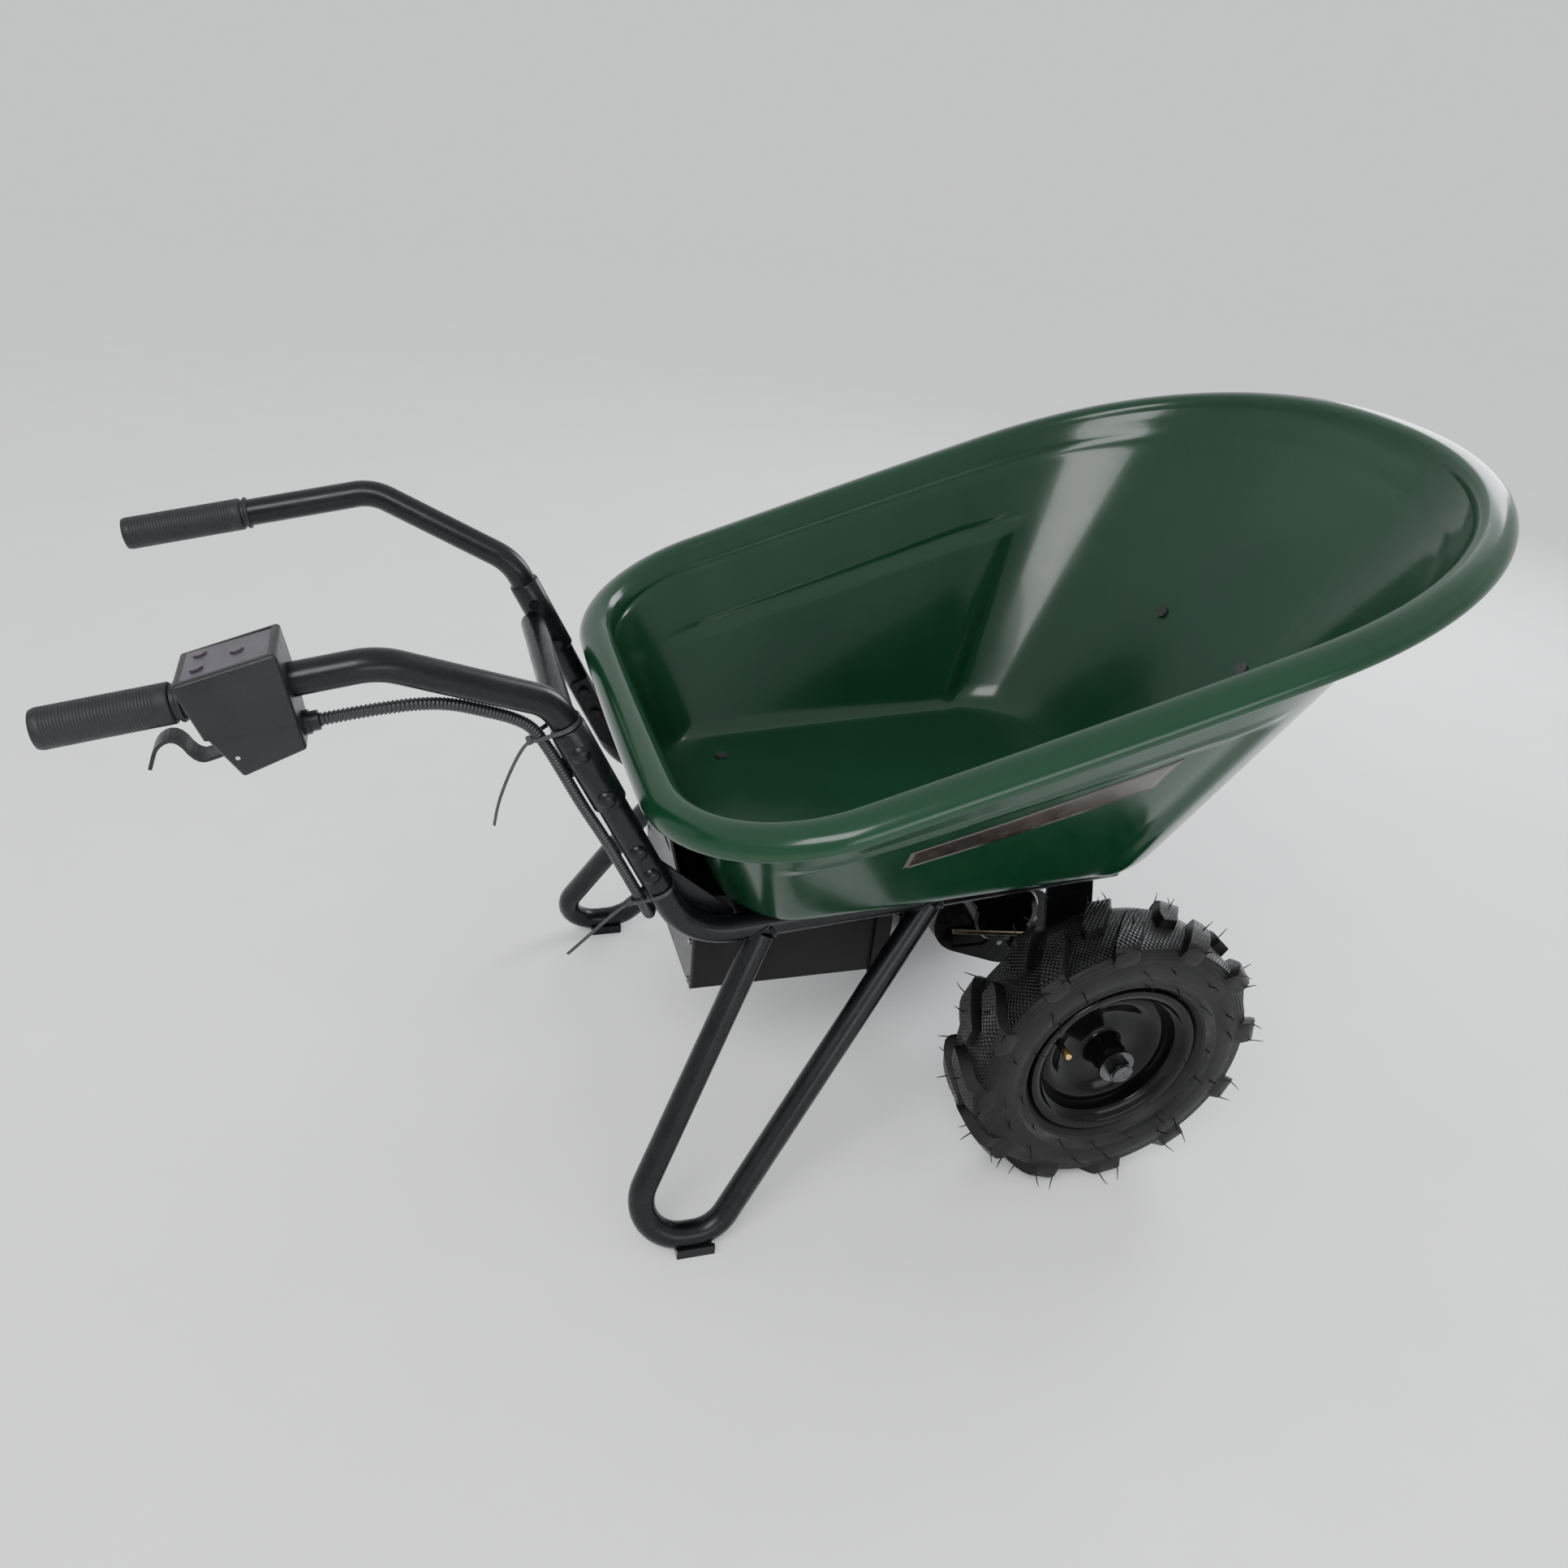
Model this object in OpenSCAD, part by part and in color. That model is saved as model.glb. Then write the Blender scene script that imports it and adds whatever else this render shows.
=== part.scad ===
// Electric two-wheel wheelbarrow.
// X runs forward to the nose of the tub, Y to the left, Z up. Origin: floor, middle of the outline.

/* [Tub] */
// Length of the tub along its rim
tub_len = 1085; // [980:5:1200]
// Greatest width of the tub over its rim
tub_w = 830; // [760:5:900]
// Height of the rim at the rear
rim_z = 573; // [550:1:620]
// Tilt of the rim, rising to the front
rim_tilt = 18.5; // [16:0.5:20]
// Wall of the moulded tub
tub_wall = 4; // [3:0.5:6]
// Width of the rolled rim
rim_roll = 36; // [30:1:45]
// Depth of the rim's turned-down lip
lip_h = 26; // [20:1:34]
// Half width of the floor
floor_hw = 240; // [225:5:260]
// Step of the side wall panels
panel_step = 9; // [6:1:16]

/* [Frame] */
// Outer diameter of the frame tube
tube_d = 32; // [28:1:34]
// Wall of the frame tube
tube_t = 2; // [1.5:0.5:3]
// Distance between the middles of the side rails
rail_gap = 400; // [380:5:410]
// Distance between the middles of the grips
grip_gap = 504; // [460:5:540]
// Distance between the middles of the feet
foot_gap = 644; // [600:5:680]
// Reach of the grips behind the tub
grip_reach = 530; // [480:5:600]
// Outer diameter of the grips
grip_d = 38; // [36:1:42]
// Length of the left grip
grip_l_len = 145; // [120:5:160]
// Length of the right grip
grip_r_len = 124; // [100:2:126]
// Length of the sleeves that join handles and rails
sleeve_len = 104; // [90:2:110]

/* [Wheels] */
// Outer diameter of the tyres
tyre_d = 396; // [380:2:410]
// Width of the tyres
tyre_w = 100; // [90:2:104]
// Distance between the middles of the tyres
track = 560; // [550:2:600]
// Diameter over the rim flange
flange_d = 223; // [210:1:230]
// Diameter of the drive axle
axle_d = 24; // [20:1:26]
// Distance of the axle in front of the tub's rear edge
axle_x = 596; // [580:2:610]

/* [Drive] */
// Teeth on the motor pinion
motor_teeth = 14; // [13:1:15]
// Teeth on the first gear
first_teeth = 46; // [44:1:48]
// Module of the first gear pair
first_mod = 2; // [2:0.05:2.1]
// Teeth on the second pinion
second_teeth = 13; // [12:1:14]
// Teeth on the axle gear
final_teeth = 43; // [42:1:45]
// Module of the second gear pair
second_mod = 2.5; // [2.5:0.05:2.6]
// Diameter of the motor casing
motor_d = 92; // [86:1:96]
// Length of the motor casing
motor_len = 76; // [70:1:90]

/* [Battery box] */
// Half width of the battery box
box_hw = 140; // [130:2:150]
// Length of the battery box
box_len = 250; // [240:2:256]
// Sheet thickness of the battery box
sheet = 2; // [1.5:0.5:3]
// Height of the battery box's underside above the floor
box_z = 240; // [225:1:250]

/* [Controls] */
// Width of the control housing
ctl_w = 76; // [72:1:84]
// Wall of the control housing
ctl_wall = 2.5; // [2:0.5:3]
// Diameter of the keypad buttons
button_d = 12; // [10:0.5:13]
// Travel of the keypad buttons
button_travel = 1.2; // [0.8:0.1:1.4]
// Width of the throttle paddle
paddle_w = 24; // [18:1:30]
// Outer diameter of the cable conduit
conduit_d = 13; // [10:1:14]

/* [Hidden] */
$fn = 48;

fit = 0.05;                 // running clearance on a radius
seat = 0.3;                 // gap between curved faces that only rest together
tube_r = tube_d/2;
tube_ri = tube_r - tube_t;
rail_y = rail_gap/2;
grip_y = grip_gap/2;
wheel_y = track/2;
wheel_r = tyre_d/2;
axle_z = wheel_r;
x_front = tub_len*cos(rim_tilt) + lip_h*sin(rim_tilt);

// Side view of a handle: grip end, first bend, second bend, foot of the handle
grip_rise = 50/287;         // slope of the grip, rise over run
grip_ang = atan(grip_rise);
bend1 = [-243, 0, rim_z + 177];
bend2 = [-80, 0, rim_z + 102];
rail_dir = [0.447, 0, -0.894]/norm([0.447, 0, -0.894]);
grip_end = [-grip_reach, 0, bend1[2] - (grip_reach + bend1[0])*grip_rise];
x_rear = -grip_reach - grip_d/2*sin(grip_ang);
x_mid = (x_front + x_rear)/2;

// Floor line of the tub, rising to the front
floor_x0 = 125;
floor_x1 = 672 + tub_len - 1085;
floor_slope = 0.057;
function floor_z(x) = rim_z - 184 + floor_slope*(x - floor_x0);
floor_ang = atan(floor_slope);

// Rail: slanted part, bend, then along the floor of the tub
rail_drop = tube_r + seat;
function rail_z(x) = floor_z(x) - rail_drop;
joint_at = bend2 + rail_dir*72;
sleeve_a = bend2 + rail_dir*30;
sleeve_b = sleeve_a + rail_dir*sleeve_len;
corner_t = (bend2[2] - rail_z(bend2[0]))/(-rail_dir[2] + floor_slope*rail_dir[0]);
rail_corner = bend2 + rail_dir*corner_t;
rail_end_x = axle_x + 26;
rail_bend_r = 80;
rail_taper = 0.0307;        // how far the rails draw together for each step forward
function rail_yx(x) = rail_y - rail_taper*(x - rail_corner[0]);

// ---- helpers -------------------------------------------------------------------------------

function unit(v) = v/norm(v);
function side(p, s, y) = [p[0], s*y, p[2]];

module place() translate([-x_mid, 0, 0]) children();
module both() for (s = [-1, 1]) scale_y(s) children();
module scale_y(s) if (s > 0) children(); else mirror([0, 1, 0]) children();

// Frame whose Z runs along d and whose X lies as near to world up as it can
module along(p, d) {
    w = unit(d);
    a = abs(w[2]) < 0.9 ? [0, 0, 1] : [0, 1, 0];
    v = unit(cross(w, a));
    u = cross(v, w);
    multmatrix([[u[0], v[0], w[0], p[0]], [u[1], v[1], w[1], p[1]],
                [u[2], v[2], w[2], p[2]], [0, 0, 0, 1]]) children();
}

// Straight run of round tube or bar; ri = 0 makes it solid
module run(a, b, ro, ri) along(a, b - a) linear_extrude(norm(b - a)) ring(ro, ri);
module ring(ro, ri) difference() {
    circle(ro);
    if (ri > 0) circle(ri);
}

// Tube through points p with bends of radius r at the inner points
function turn(p, i) = acos(unit(p[i] - p[i-1])*unit(p[i+1] - p[i]));
function cutback(p, i, r) = i <= 0 || i >= len(p) - 1 ? 0 : r*tan(turn(p, i)/2);
lap = 2;                    // how far a straight run reaches into a bend
swell = 0.1;                // how much thicker a bend is, outside and inside
function reach(p, i, r) = i <= 0 || i >= len(p) - 1 ? 0 : cutback(p, i, r) - lap;
module bent_tube(p, r, ro, ri) {
    for (i = [0:len(p)-2]) {
        d = unit(p[i+1] - p[i]);
        run(p[i] + d*reach(p, i, r), p[i+1] - d*reach(p, i+1, r), ro, ri);
    }
    for (i = [1:len(p)-2]) {
        u = unit(p[i] - p[i-1]);
        axis = unit(cross(u, p[i+1] - p[i]));
        start = p[i] - u*cutback(p, i, r);
        e1 = -cross(axis, u);
        c = start - e1*r;
        multmatrix([[e1[0], u[0], axis[0], c[0]], [e1[1], u[1], axis[1], c[1]],
                    [e1[2], u[2], axis[2], c[2]], [0, 0, 0, 1]])
            rotate_extrude(angle = turn(p, i)) translate([r, 0])
                ring(ro + swell, ri > 0 ? ri - swell : 0);
    }
}

module rod(a, b, d) along(a, b - a) cylinder(d = d, h = norm(b - a));
module y_rod(x, z, y0, y1, d) translate([x, y1, z]) rotate([90, 0, 0]) cylinder(d = d, h = y1 - y0);
module y_hex(x, z, y0, y1, af) translate([x, y1, z]) rotate([90, 0, 0])
    cylinder(d = af/cos(30), h = y1 - y0, $fn = 6);
module round_box(a, b, r) hull() for (x = [a[0]+r, b[0]-r], y = [a[1]+r, b[1]-r])
    translate([x, y, a[2]]) cylinder(r = r, h = b[2] - a[2], $fn = 32);
// Plate of thickness t facing Y between y and y + t, drawn as points in X and Z
module y_plate(pts, y, t) translate([0, y + t, 0]) rotate([90, 0, 0]) linear_extrude(t) polygon(pts);

// ---- tub -----------------------------------------------------------------------------------

tub_hw = tub_w/2;
rear_hw = tub_hw - 8.4;     // half width where the rear corners end
rear_cr = 207;              // corner radius of the rim
floor_cr = 105;             // corner radius of the floor
wide_u = tub_len*0.608;     // where the rim is widest
nose_pow = 2.2;
floor_pow = 3.6;
seg_rear = 3;
seg_corner = 8;
seg_side = 10;
seg_nose = 13;
bow = 2;                    // how far the middle of the rear edge stands out
half_n = seg_rear + seg_corner + seg_side + seg_nose;

// Half outline from the middle of the rear edge to the nose, n points a section
function half_outline(x0, xw, x1, hw0, hw1, cr, pw) = concat(
    [for (i = [0:seg_rear-1]) [x0 + bow*pow(i/seg_rear, 2), (hw0 - cr)*i/seg_rear]],
    [for (i = [0:seg_corner-1]) let (a = 90*i/seg_corner)
        [x0 + bow + (cr - bow)*(1 - cos(a)), hw0 - cr + cr*sin(a)]],
    [for (i = [0:seg_side-1]) let (k = i/seg_side)
        [x0 + cr + (xw - x0 - cr)*k, hw0 + (hw1 - hw0)*sin(90*k)]],
    [for (i = [0:seg_nose]) let (a = 90*i/seg_nose)
        [xw + (x1 - xw)*pow(sin(a), 2/pw), hw1*pow(max(cos(a), 0), 2/pw)]]);
function full_loop(h) = concat(
    [for (i = [0:len(h)-1]) [h[i][0], -h[i][1]]],
    [for (i = [len(h)-2:-1:1]) [h[i][0], h[i][1]]]);
rim_loop = full_loop(half_outline(0, wide_u, tub_len, rear_hw, tub_hw, rear_cr, nose_pow));
floor_loop = full_loop(half_outline(floor_x0, floor_x1 - 170, floor_x1, floor_hw - 3, floor_hw,
                                    floor_cr, floor_pow));
loop_n = len(rim_loop);
function around(i) = (i + loop_n) % loop_n;
function inward(loop, i) = let (t = loop[around(i+1)] - loop[around(i-1)]) [-t[1], t[0]]/norm(t);

// Point i of the rim, moved in by o and up by d across the rim's plane
function rim_pt(i, o, d) = let (q = rim_loop[i] + inward(rim_loop, i)*o)
    [q[0]*cos(rim_tilt) - d*sin(rim_tilt), q[1], rim_z + q[0]*sin(rim_tilt) + d*cos(rim_tilt)];
function floor_pt(i, o, d) = let (q = floor_loop[i] + inward(floor_loop, i)*o)
    [q[0], q[1], floor_z(q[0]) + d];
// Share of the way along the side panel, from the rear corner to the nose
panel_start = seg_rear + seg_corner*0.62;
panel_end = seg_rear + seg_corner + seg_side + seg_nose*0.17;
function along_side(i) = ((i <= half_n ? i : loop_n - i) - panel_start)/(panel_end - panel_start);
// Full depth of the panel step along the sides, fading to nothing at both ends
function side_k(i) = max(0, min(1, min(along_side(i), 1 - along_side(i))*9));
function step_y(p, i, on) = [p[0], p[1] - sign(p[1])*panel_step*on*side_k(i), p[2]];
function wall_pt(i, h, off, on) = let (a = rim_pt(i, rim_roll + 8 - off, -14), b = floor_pt(i, -off, tub_wall - off))
    step_y(a + (b - a)*h, i, on);
// Ridge over the panel, as a share of the wall's height from the top, and the foot of its step
function ridge_at(i) = 0.42 - 0.11*max(0, min(1, along_side(i)));
function step_foot(i) = ridge_at(i) + 0.05;
decal_h = 0.20;             // height of the side strips as a share of the wall
function decal_low(i) = step_foot(i) + decal_h;
fillet_at = 0.92;
floor_in = 20;
function fillet_pt(i, k, off) = let (a = wall_pt(i, fillet_at, off, 1),
    b = step_y(floor_pt(i, -off, tub_wall - off), i, 1), c = floor_pt(i, floor_in, tub_wall - off))
    a*(1-k)*(1-k) + b*2*k*(1-k) + c*k*k;
roll_out = [[rim_roll + 2, -4], [rim_roll - 6, 0], [rim_roll*0.45, -2], [rim_roll*0.17, -8],
            [0, -17], [0, -lip_h], [tub_wall, -lip_h], [tub_wall, -19],
            [rim_roll*0.26, -11.5], [rim_roll*0.5, -6.5], [rim_roll - 4, -5 - tub_wall*0.2]];
// Rings from the inner floor up the inside, over the rim and down the outside
tub_rings = concat(
    [for (k = [1, 0.66, 0.33, 0]) [for (i = [0:loop_n-1]) fillet_pt(i, k, 0)]],
    [[for (i = [0:loop_n-1]) wall_pt(i, decal_low(i), 0, 1)],
     [for (i = [0:loop_n-1]) wall_pt(i, step_foot(i), 0, 1)],
     [for (i = [0:loop_n-1]) wall_pt(i, ridge_at(i), 0, 0)],
     [for (i = [0:loop_n-1]) wall_pt(i, 0, 0, 0)]],
    [for (r = roll_out) [for (i = [0:loop_n-1]) rim_pt(i, r[0], r[1])]],
    [[for (i = [0:loop_n-1]) wall_pt(i, 0, tub_wall, 0)],
     [for (i = [0:loop_n-1]) wall_pt(i, ridge_at(i), tub_wall, 0)],
     [for (i = [0:loop_n-1]) wall_pt(i, step_foot(i), tub_wall, 1)],
     [for (i = [0:loop_n-1]) wall_pt(i, decal_low(i), tub_wall, 1)]],
    [for (k = [0, 0.33, 0.66, 1]) [for (i = [0:loop_n-1]) fillet_pt(i, k, tub_wall)]]);

// Closed skin over a stack of rings that run anticlockwise round the way they are stacked
module skin(rings) {
    n = len(rings[0]);
    m = len(rings);
    polyhedron(
        points = [for (r = rings) for (p = r) p],
        faces = concat(
            [[for (i = [0:n-1]) i]],
            [for (j = [0:m-2]) for (i = [0:n-1]) let (k = (i+1) % n)
                each [[j*n + i, (j+1)*n + k, j*n + k], [j*n + i, (j+1)*n + i, (j+1)*n + k]]],
            [[for (i = [n-1:-1:0]) (m-1)*n + i]]),
        convexity = 8);
}
floor_bolt = [200, 160];
brace_bolt_y = 94;
brace_h = 0.58;             // how far down the front wall the braces are bolted
wall_top = rim_pt(half_n, rim_roll + 8 - tub_wall, -14);
wall_low = floor_pt(half_n, -tub_wall, 0);
wall_dir = unit(wall_top - wall_low);
wall_nrm = [wall_dir[2], 0, -wall_dir[0]];   // out of the front wall, forward and down
bolt_d = 8;
// Where a brace's bolt leaves the rounded front wall, between two points of its outline
brace_side = [for (j = [1, 2]) wall_pt(half_n - j, brace_h, tub_wall, 1)];
brace_k = (brace_bolt_y + brace_side[0][1])/(brace_side[0][1] - brace_side[1][1]);
brace_on_wall = brace_side[0] + (brace_side[1] - brace_side[0])*brace_k;
brace_at = [brace_on_wall[0], 0, brace_on_wall[2]];

// The tub's bolts are driven through its wall, which grips them
module tub() color("darkgreen") place() skin([for (j = [len(tub_rings)-1:-1:0]) tub_rings[j]]);

// Thin printed strip on each side panel, its top edge along the foot of the step
decal_first = seg_rear + seg_corner + 2;
decal_n = 8;
decal_t = 0.4;
module decal_strip(first) {
    ids = [for (i = [0:decal_n]) first + i];
    a = [for (i = ids) wall_pt(i, step_foot(i), tub_wall + seat, 1)];
    b = [for (i = ids) wall_pt(i, decal_low(i), tub_wall + seat, 1)];
    n = len(ids);
    out = [0, sign(a[0][1])*decal_t, 0];
    polyhedron(points = concat(a, b, [for (p = a) p + out], [for (p = b) p + out]),
        faces = concat(
            [for (i = [0:n-2]) each [[i, n+i, i+1], [i+1, n+i, n+i+1]]],
            [for (i = [0:n-2]) each [[2*n+i, 2*n+i+1, 3*n+i], [2*n+i+1, 3*n+i+1, 3*n+i]]],
            [for (i = [0:n-2]) each [[i, i+1, 2*n+i], [i+1, 2*n+i+1, 2*n+i]]],
            [for (i = [0:n-2]) each [[n+i, 3*n+i, n+i+1], [n+i+1, 3*n+i, 3*n+i+1]]],
            [[0, 2*n, n], [n, 2*n, 3*n]],
            [[n-1, 2*n-1, 3*n-1], [2*n-1, 4*n-1, 3*n-1]]));
}
module side_decal() color([0.12, 0.1, 0.1]) place() {
    decal_strip(decal_first);
    decal_strip(loop_n - decal_first - decal_n);
}

// ---- frame ---------------------------------------------------------------------------------

grip_plug = 6;
handle_pts = [[grip_end[0] + grip_plug, grip_y, grip_end[2] + grip_plug*grip_rise],
    side(bend1, 1, grip_y), side(bend2, 1, rail_y), side(joint_at, 1, rail_y)];
bolt_at = [for (k = [0.27, 0.86]) sleeve_a + rail_dir*sleeve_len*k];
gusset_bolt_at = [for (k = [65, 100]) sleeve_b + rail_dir*k];
bend_r = 60;
bolt_hole = bolt_d + 0.4;

module cross_hole(b) y_rod(b[0], b[2], rail_y - 30, rail_y + 30, bolt_hole);
module handle() difference() {
    bent_tube(handle_pts, bend_r, tube_r, tube_ri);
    cross_hole(bolt_at[0]);
}
module right_handle() color([0.11, 0.11, 0.12]) place() mirror([0, 1, 0]) handle();
module left_handle() color([0.11, 0.11, 0.12]) place() handle();

// Rubber grip with a collar, closed at its end
module grip(s, l) {
    p = [grip_end[0], s*grip_y, grip_end[2]];
    d = unit(bend1 - [grip_end[0], 0, grip_end[2]]);
    difference() {
        along(p, d) rotate_extrude() {
            square([grip_d/2, l - 8]);
            translate([0, l - 8]) square([grip_d/2 - 2.5, 3]);
            translate([0, l - 5]) square([grip_d/2, 5]);
        }
        along(p, d) translate([0, 0, grip_plug]) cylinder(r = tube_r + fit, h = l);
    }
}
module right_grip() color([0.1, 0.1, 0.1]) place() grip(-1, grip_r_len);
module left_grip() color([0.1, 0.1, 0.1]) place() grip(1, grip_l_len);

sleeve_r = tube_r + 3;
module joint_sleeves() color([0.13, 0.13, 0.14]) place() both() difference() {
    run(side(sleeve_a, 1, rail_y), side(sleeve_b, 1, rail_y), sleeve_r, tube_r + fit);
    for (b = bolt_at) cross_hole(b);
}

bar_at = sleeve_a + rail_dir*sleeve_len*0.5 - [12, 0, 6];
bar_y = rail_y - 12;
// Crossbar between the sleeves, its ends cut round to sit on them
module crossbar() color([0.13, 0.13, 0.14]) place() difference() {
    y_rod(bar_at[0], bar_at[2], -bar_y, bar_y, tube_d);
    y_rod(bar_at[0], bar_at[2], -bar_y - 1, bar_y + 1, 2*tube_ri);
    for (s = [-1, 1])
        rod(side(sleeve_a - rail_dir*30, s, rail_y), side(sleeve_b + rail_dir*30, s, rail_y),
            2*(sleeve_r + seat));
}

rail_top = joint_at + rail_dir*2;
rail_pts = [side(rail_top, 1, rail_y), side(rail_corner, 1, rail_y),
    [rail_end_x, rail_yx(rail_end_x), rail_z(rail_end_x)]];
module rail() difference() {
    bent_tube(rail_pts, rail_bend_r, tube_r, tube_ri);
    for (b = concat([bolt_at[1]], gusset_bolt_at)) cross_hole(b);
}
module right_rail() color([0.12, 0.12, 0.13]) place() mirror([0, 1, 0]) rail();
module left_rail() color([0.12, 0.12, 0.13]) place() rail();

// Flat plates on the inner faces of the rails, filling the inside of the bends
gusset_t = 4;
gusset_y = rail_y - tube_r - swell - fit - gusset_t;
gusset_top = sleeve_b + rail_dir*48;
rail_nrm = [-rail_dir[2], 0, rail_dir[0]];   // from the slanted rail towards the tub
gusset_end = 130;
module gussets() color([0.1, 0.1, 0.11]) place() both() difference() {
    y_plate(let (a = gusset_top - rail_nrm*12, b = gusset_top + rail_nrm*14,
                 c = b + rail_dir*62, d = rail_corner - rail_dir*66 - rail_nrm*12)
            [[a[0], a[2]], [b[0], b[2]], [c[0], c[2]], [gusset_end, rail_z(gusset_end) + 14],
             [gusset_end, rail_z(gusset_end) - 9], [rail_corner[0] + 40, rail_z(rail_corner[0]) - 8],
             [d[0], d[2]]], gusset_y, gusset_t);
    for (b = gusset_bolt_at) cross_hole(b);
    bent_tube(rail_pts, rail_bend_r, tube_r + seat/2, 0);
}

// Flat strap under the tub floor, set between the rails
strap_w = 36;
strap_t = 4;
module sloped(x) translate([x, 0, floor_z(x)]) rotate([0, -floor_ang, 0]) children();
module floor_strap() color([0.12, 0.12, 0.13]) place() difference() {
    sloped(floor_bolt[0]) translate([-strap_w/2, -rail_yx(floor_bolt[0]), -seat - strap_t])
        cube([strap_w, 2*rail_yx(floor_bolt[0]), strap_t]);
    for (s = [-1, 1]) {
        translate([floor_bolt[0], s*floor_bolt[1], floor_z(floor_bolt[0]) - 30])
            cylinder(d = bolt_hole, h = 60);
        rail_run(s, seat);
    }
}

// The straight run of a rail under the floor, as a solid to cut with
module rail_run(s, grow) rod([0, s*rail_yx(0), rail_z(0)],
    [rail_end_x, s*rail_yx(rail_end_x), rail_z(rail_end_x)], tube_d + 2*grow);
front_bar_x = rail_end_x - 24;
front_bar = 25;
front_bar_hy = rail_yx(front_bar_x) - tube_r + 3;
// Square bar between the front ends of the rails
module front_crossbar() color([0.12, 0.12, 0.13]) place() difference() {
    sloped(front_bar_x) translate([-front_bar/2, -front_bar_hy, -rail_drop - front_bar/2])
        cube([front_bar, 2*front_bar_hy, front_bar]);
    for (s = [-1, 1]) rail_run(s, seat);
}

// Flat bars from the front crossbar up the front wall of the tub
brace_t = 5;
brace_w = 34;
brace_foot_z = rail_z(front_bar_x) - front_bar/2 - 1;
brace_off = 1.8;            // the flat brace meets the rounded wall at its inner edge
brace_low = brace_at - wall_dir*norm(brace_at - [wall_low[0], 0, wall_low[2]]) + wall_nrm*brace_off;
module front_braces() color([0.12, 0.12, 0.13]) place() for (s = [-1, 1]) difference() {
    y_plate(let (
            a = [front_bar_x + front_bar/2 + 2, 0, brace_foot_z],
            b = brace_low + wall_dir*12,
            c = brace_at + wall_nrm*brace_off + wall_dir*26,
            n = wall_nrm*brace_t,
            e = a + [0, 0, -brace_t])
        [[front_bar_x - front_bar/2, a[2]], [a[0], a[2]], [b[0] + 1, b[2]], [c[0], c[2]],
         [c[0] + n[0], c[2] + n[2]], [b[0] + n[0] + 2.5, b[2] + n[2] - 2], [e[0] + 3, e[2]],
         [front_bar_x - front_bar/2, e[2]]], s*brace_bolt_y - brace_w/2, brace_w);
    rod([brace_at[0], s*brace_bolt_y, brace_at[2]] - wall_nrm*20,
        [brace_at[0], s*brace_bolt_y, brace_at[2]] + wall_nrm*20, bolt_hole);
}

// Legs: V of bent tube in a plane that leans outward from the rail to the foot
foot_y = foot_gap/2;
foot_t = 3;
leg_low = tube_r + foot_t;
leg_x = [166, 378];         // where the strands meet the rail
leg_foot_x = [-22, 96];     // where the lines of the strands meet the foot's height
leg_bend_r = 50;
leg_pts = [[leg_x[0], rail_yx(leg_x[0]), rail_z(leg_x[0])], [leg_foot_x[0], foot_y, leg_low],
    [leg_foot_x[1], foot_y, leg_low], [leg_x[1], rail_yx(leg_x[1]), rail_z(leg_x[1])]];
leg_dir = unit(leg_pts[1] - leg_pts[0]);
leg_hole = leg_pts[0] + leg_dir*38;
module leg() difference() {
    bent_tube(leg_pts, leg_bend_r, tube_r, tube_ri);
    rail_run(1, seat);
    y_rod(leg_hole[0], leg_hole[2], leg_hole[1] - 30, leg_hole[1] + 30, 7);
}
module right_leg() color([0.12, 0.11, 0.12]) place() mirror([0, 1, 0]) leg();
module left_leg() color([0.12, 0.11, 0.12]) place() leg();

// Foot shoe: short channel under the bottom of each leg, flat on the ground
foot_w = 40;
foot_len = 46;
foot_x = (leg_foot_x[0] + leg_foot_x[1])/2 + 33;
module feet() color([0.1, 0.1, 0.11]) place() both() difference() {
    translate([foot_x - foot_len/2, foot_y - foot_w/2, 0]) cube([foot_len, foot_w, 14]);
    rod(leg_pts[1] - [60, 0, 0], leg_pts[2] + [60, 0, 0], tube_d + 2*seat);
}

// Dome headed bolt with a nut, along Y, its head on the outer side at y0 and its nut at y1
module dome_bolt(x, z, y0, y1) {
    y_rod(x, z, y1 - 4, y0 + 1, bolt_d);
    translate([x, y0, z]) rotate([-90, 0, 0]) intersection() {
        translate([0, 0, -8]) sphere(r = 13);
        cylinder(d = 20, h = 6);
    }
    y_hex(x, z, y1 - 7, y1, 13);
}
module handle_bolts() color("gray") place() both()
    for (b = bolt_at) dome_bolt(b[0], b[2], rail_y + sleeve_r, rail_y - sleeve_r);
module gusset_bolts() color("gray") place() both()
    for (b = gusset_bolt_at) dome_bolt(b[0], b[2], rail_y + tube_r, gusset_y);

// Pan head bolt along d from p, the head standing out against d, the nut at distance l
module tub_bolt(p, d, l) along(p, d) {
    translate([0, 0, -3]) cylinder(d = 17, h = 3);
    cylinder(d = bolt_d, h = l + 8);
    translate([0, 0, l]) cylinder(d = 13/cos(30), h = 6.5, $fn = 6);
}
module tub_bolts() color("dimgray") place() for (s = [-1, 1]) {
    tub_bolt([floor_bolt[0], s*floor_bolt[1], floor_z(floor_bolt[0]) + tub_wall],
             [0, 0, -1], tub_wall + strap_t + seat + 0.5);
    tub_bolt([brace_at[0], s*brace_bolt_y, brace_at[2]] - wall_nrm*tub_wall,
             wall_nrm, tub_wall + brace_off + brace_t + 0.9);
}

// ---- battery box ---------------------------------------------------------------------------

box_x0 = 98;
box_x1 = box_x0 + box_len;
box_top = rail_z(box_x0) + 6;
module battery_box() color([0.1, 0.1, 0.1]) place() difference() {
    translate([box_x0, -box_hw, box_z]) cube([box_len, 2*box_hw, box_top - box_z]);
    translate([box_x0 - 1, -box_hw + sheet, box_z + sheet])
        cube([box_len + 1 - sheet, 2*(box_hw - sheet), box_top - box_z - 2*sheet]);
    // seat of the charger socket
    y_rod(socket_at[0], socket_at[1], -box_hw - 1, -box_hw + sheet + 1, socket_d + 2*fit);
}

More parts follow.
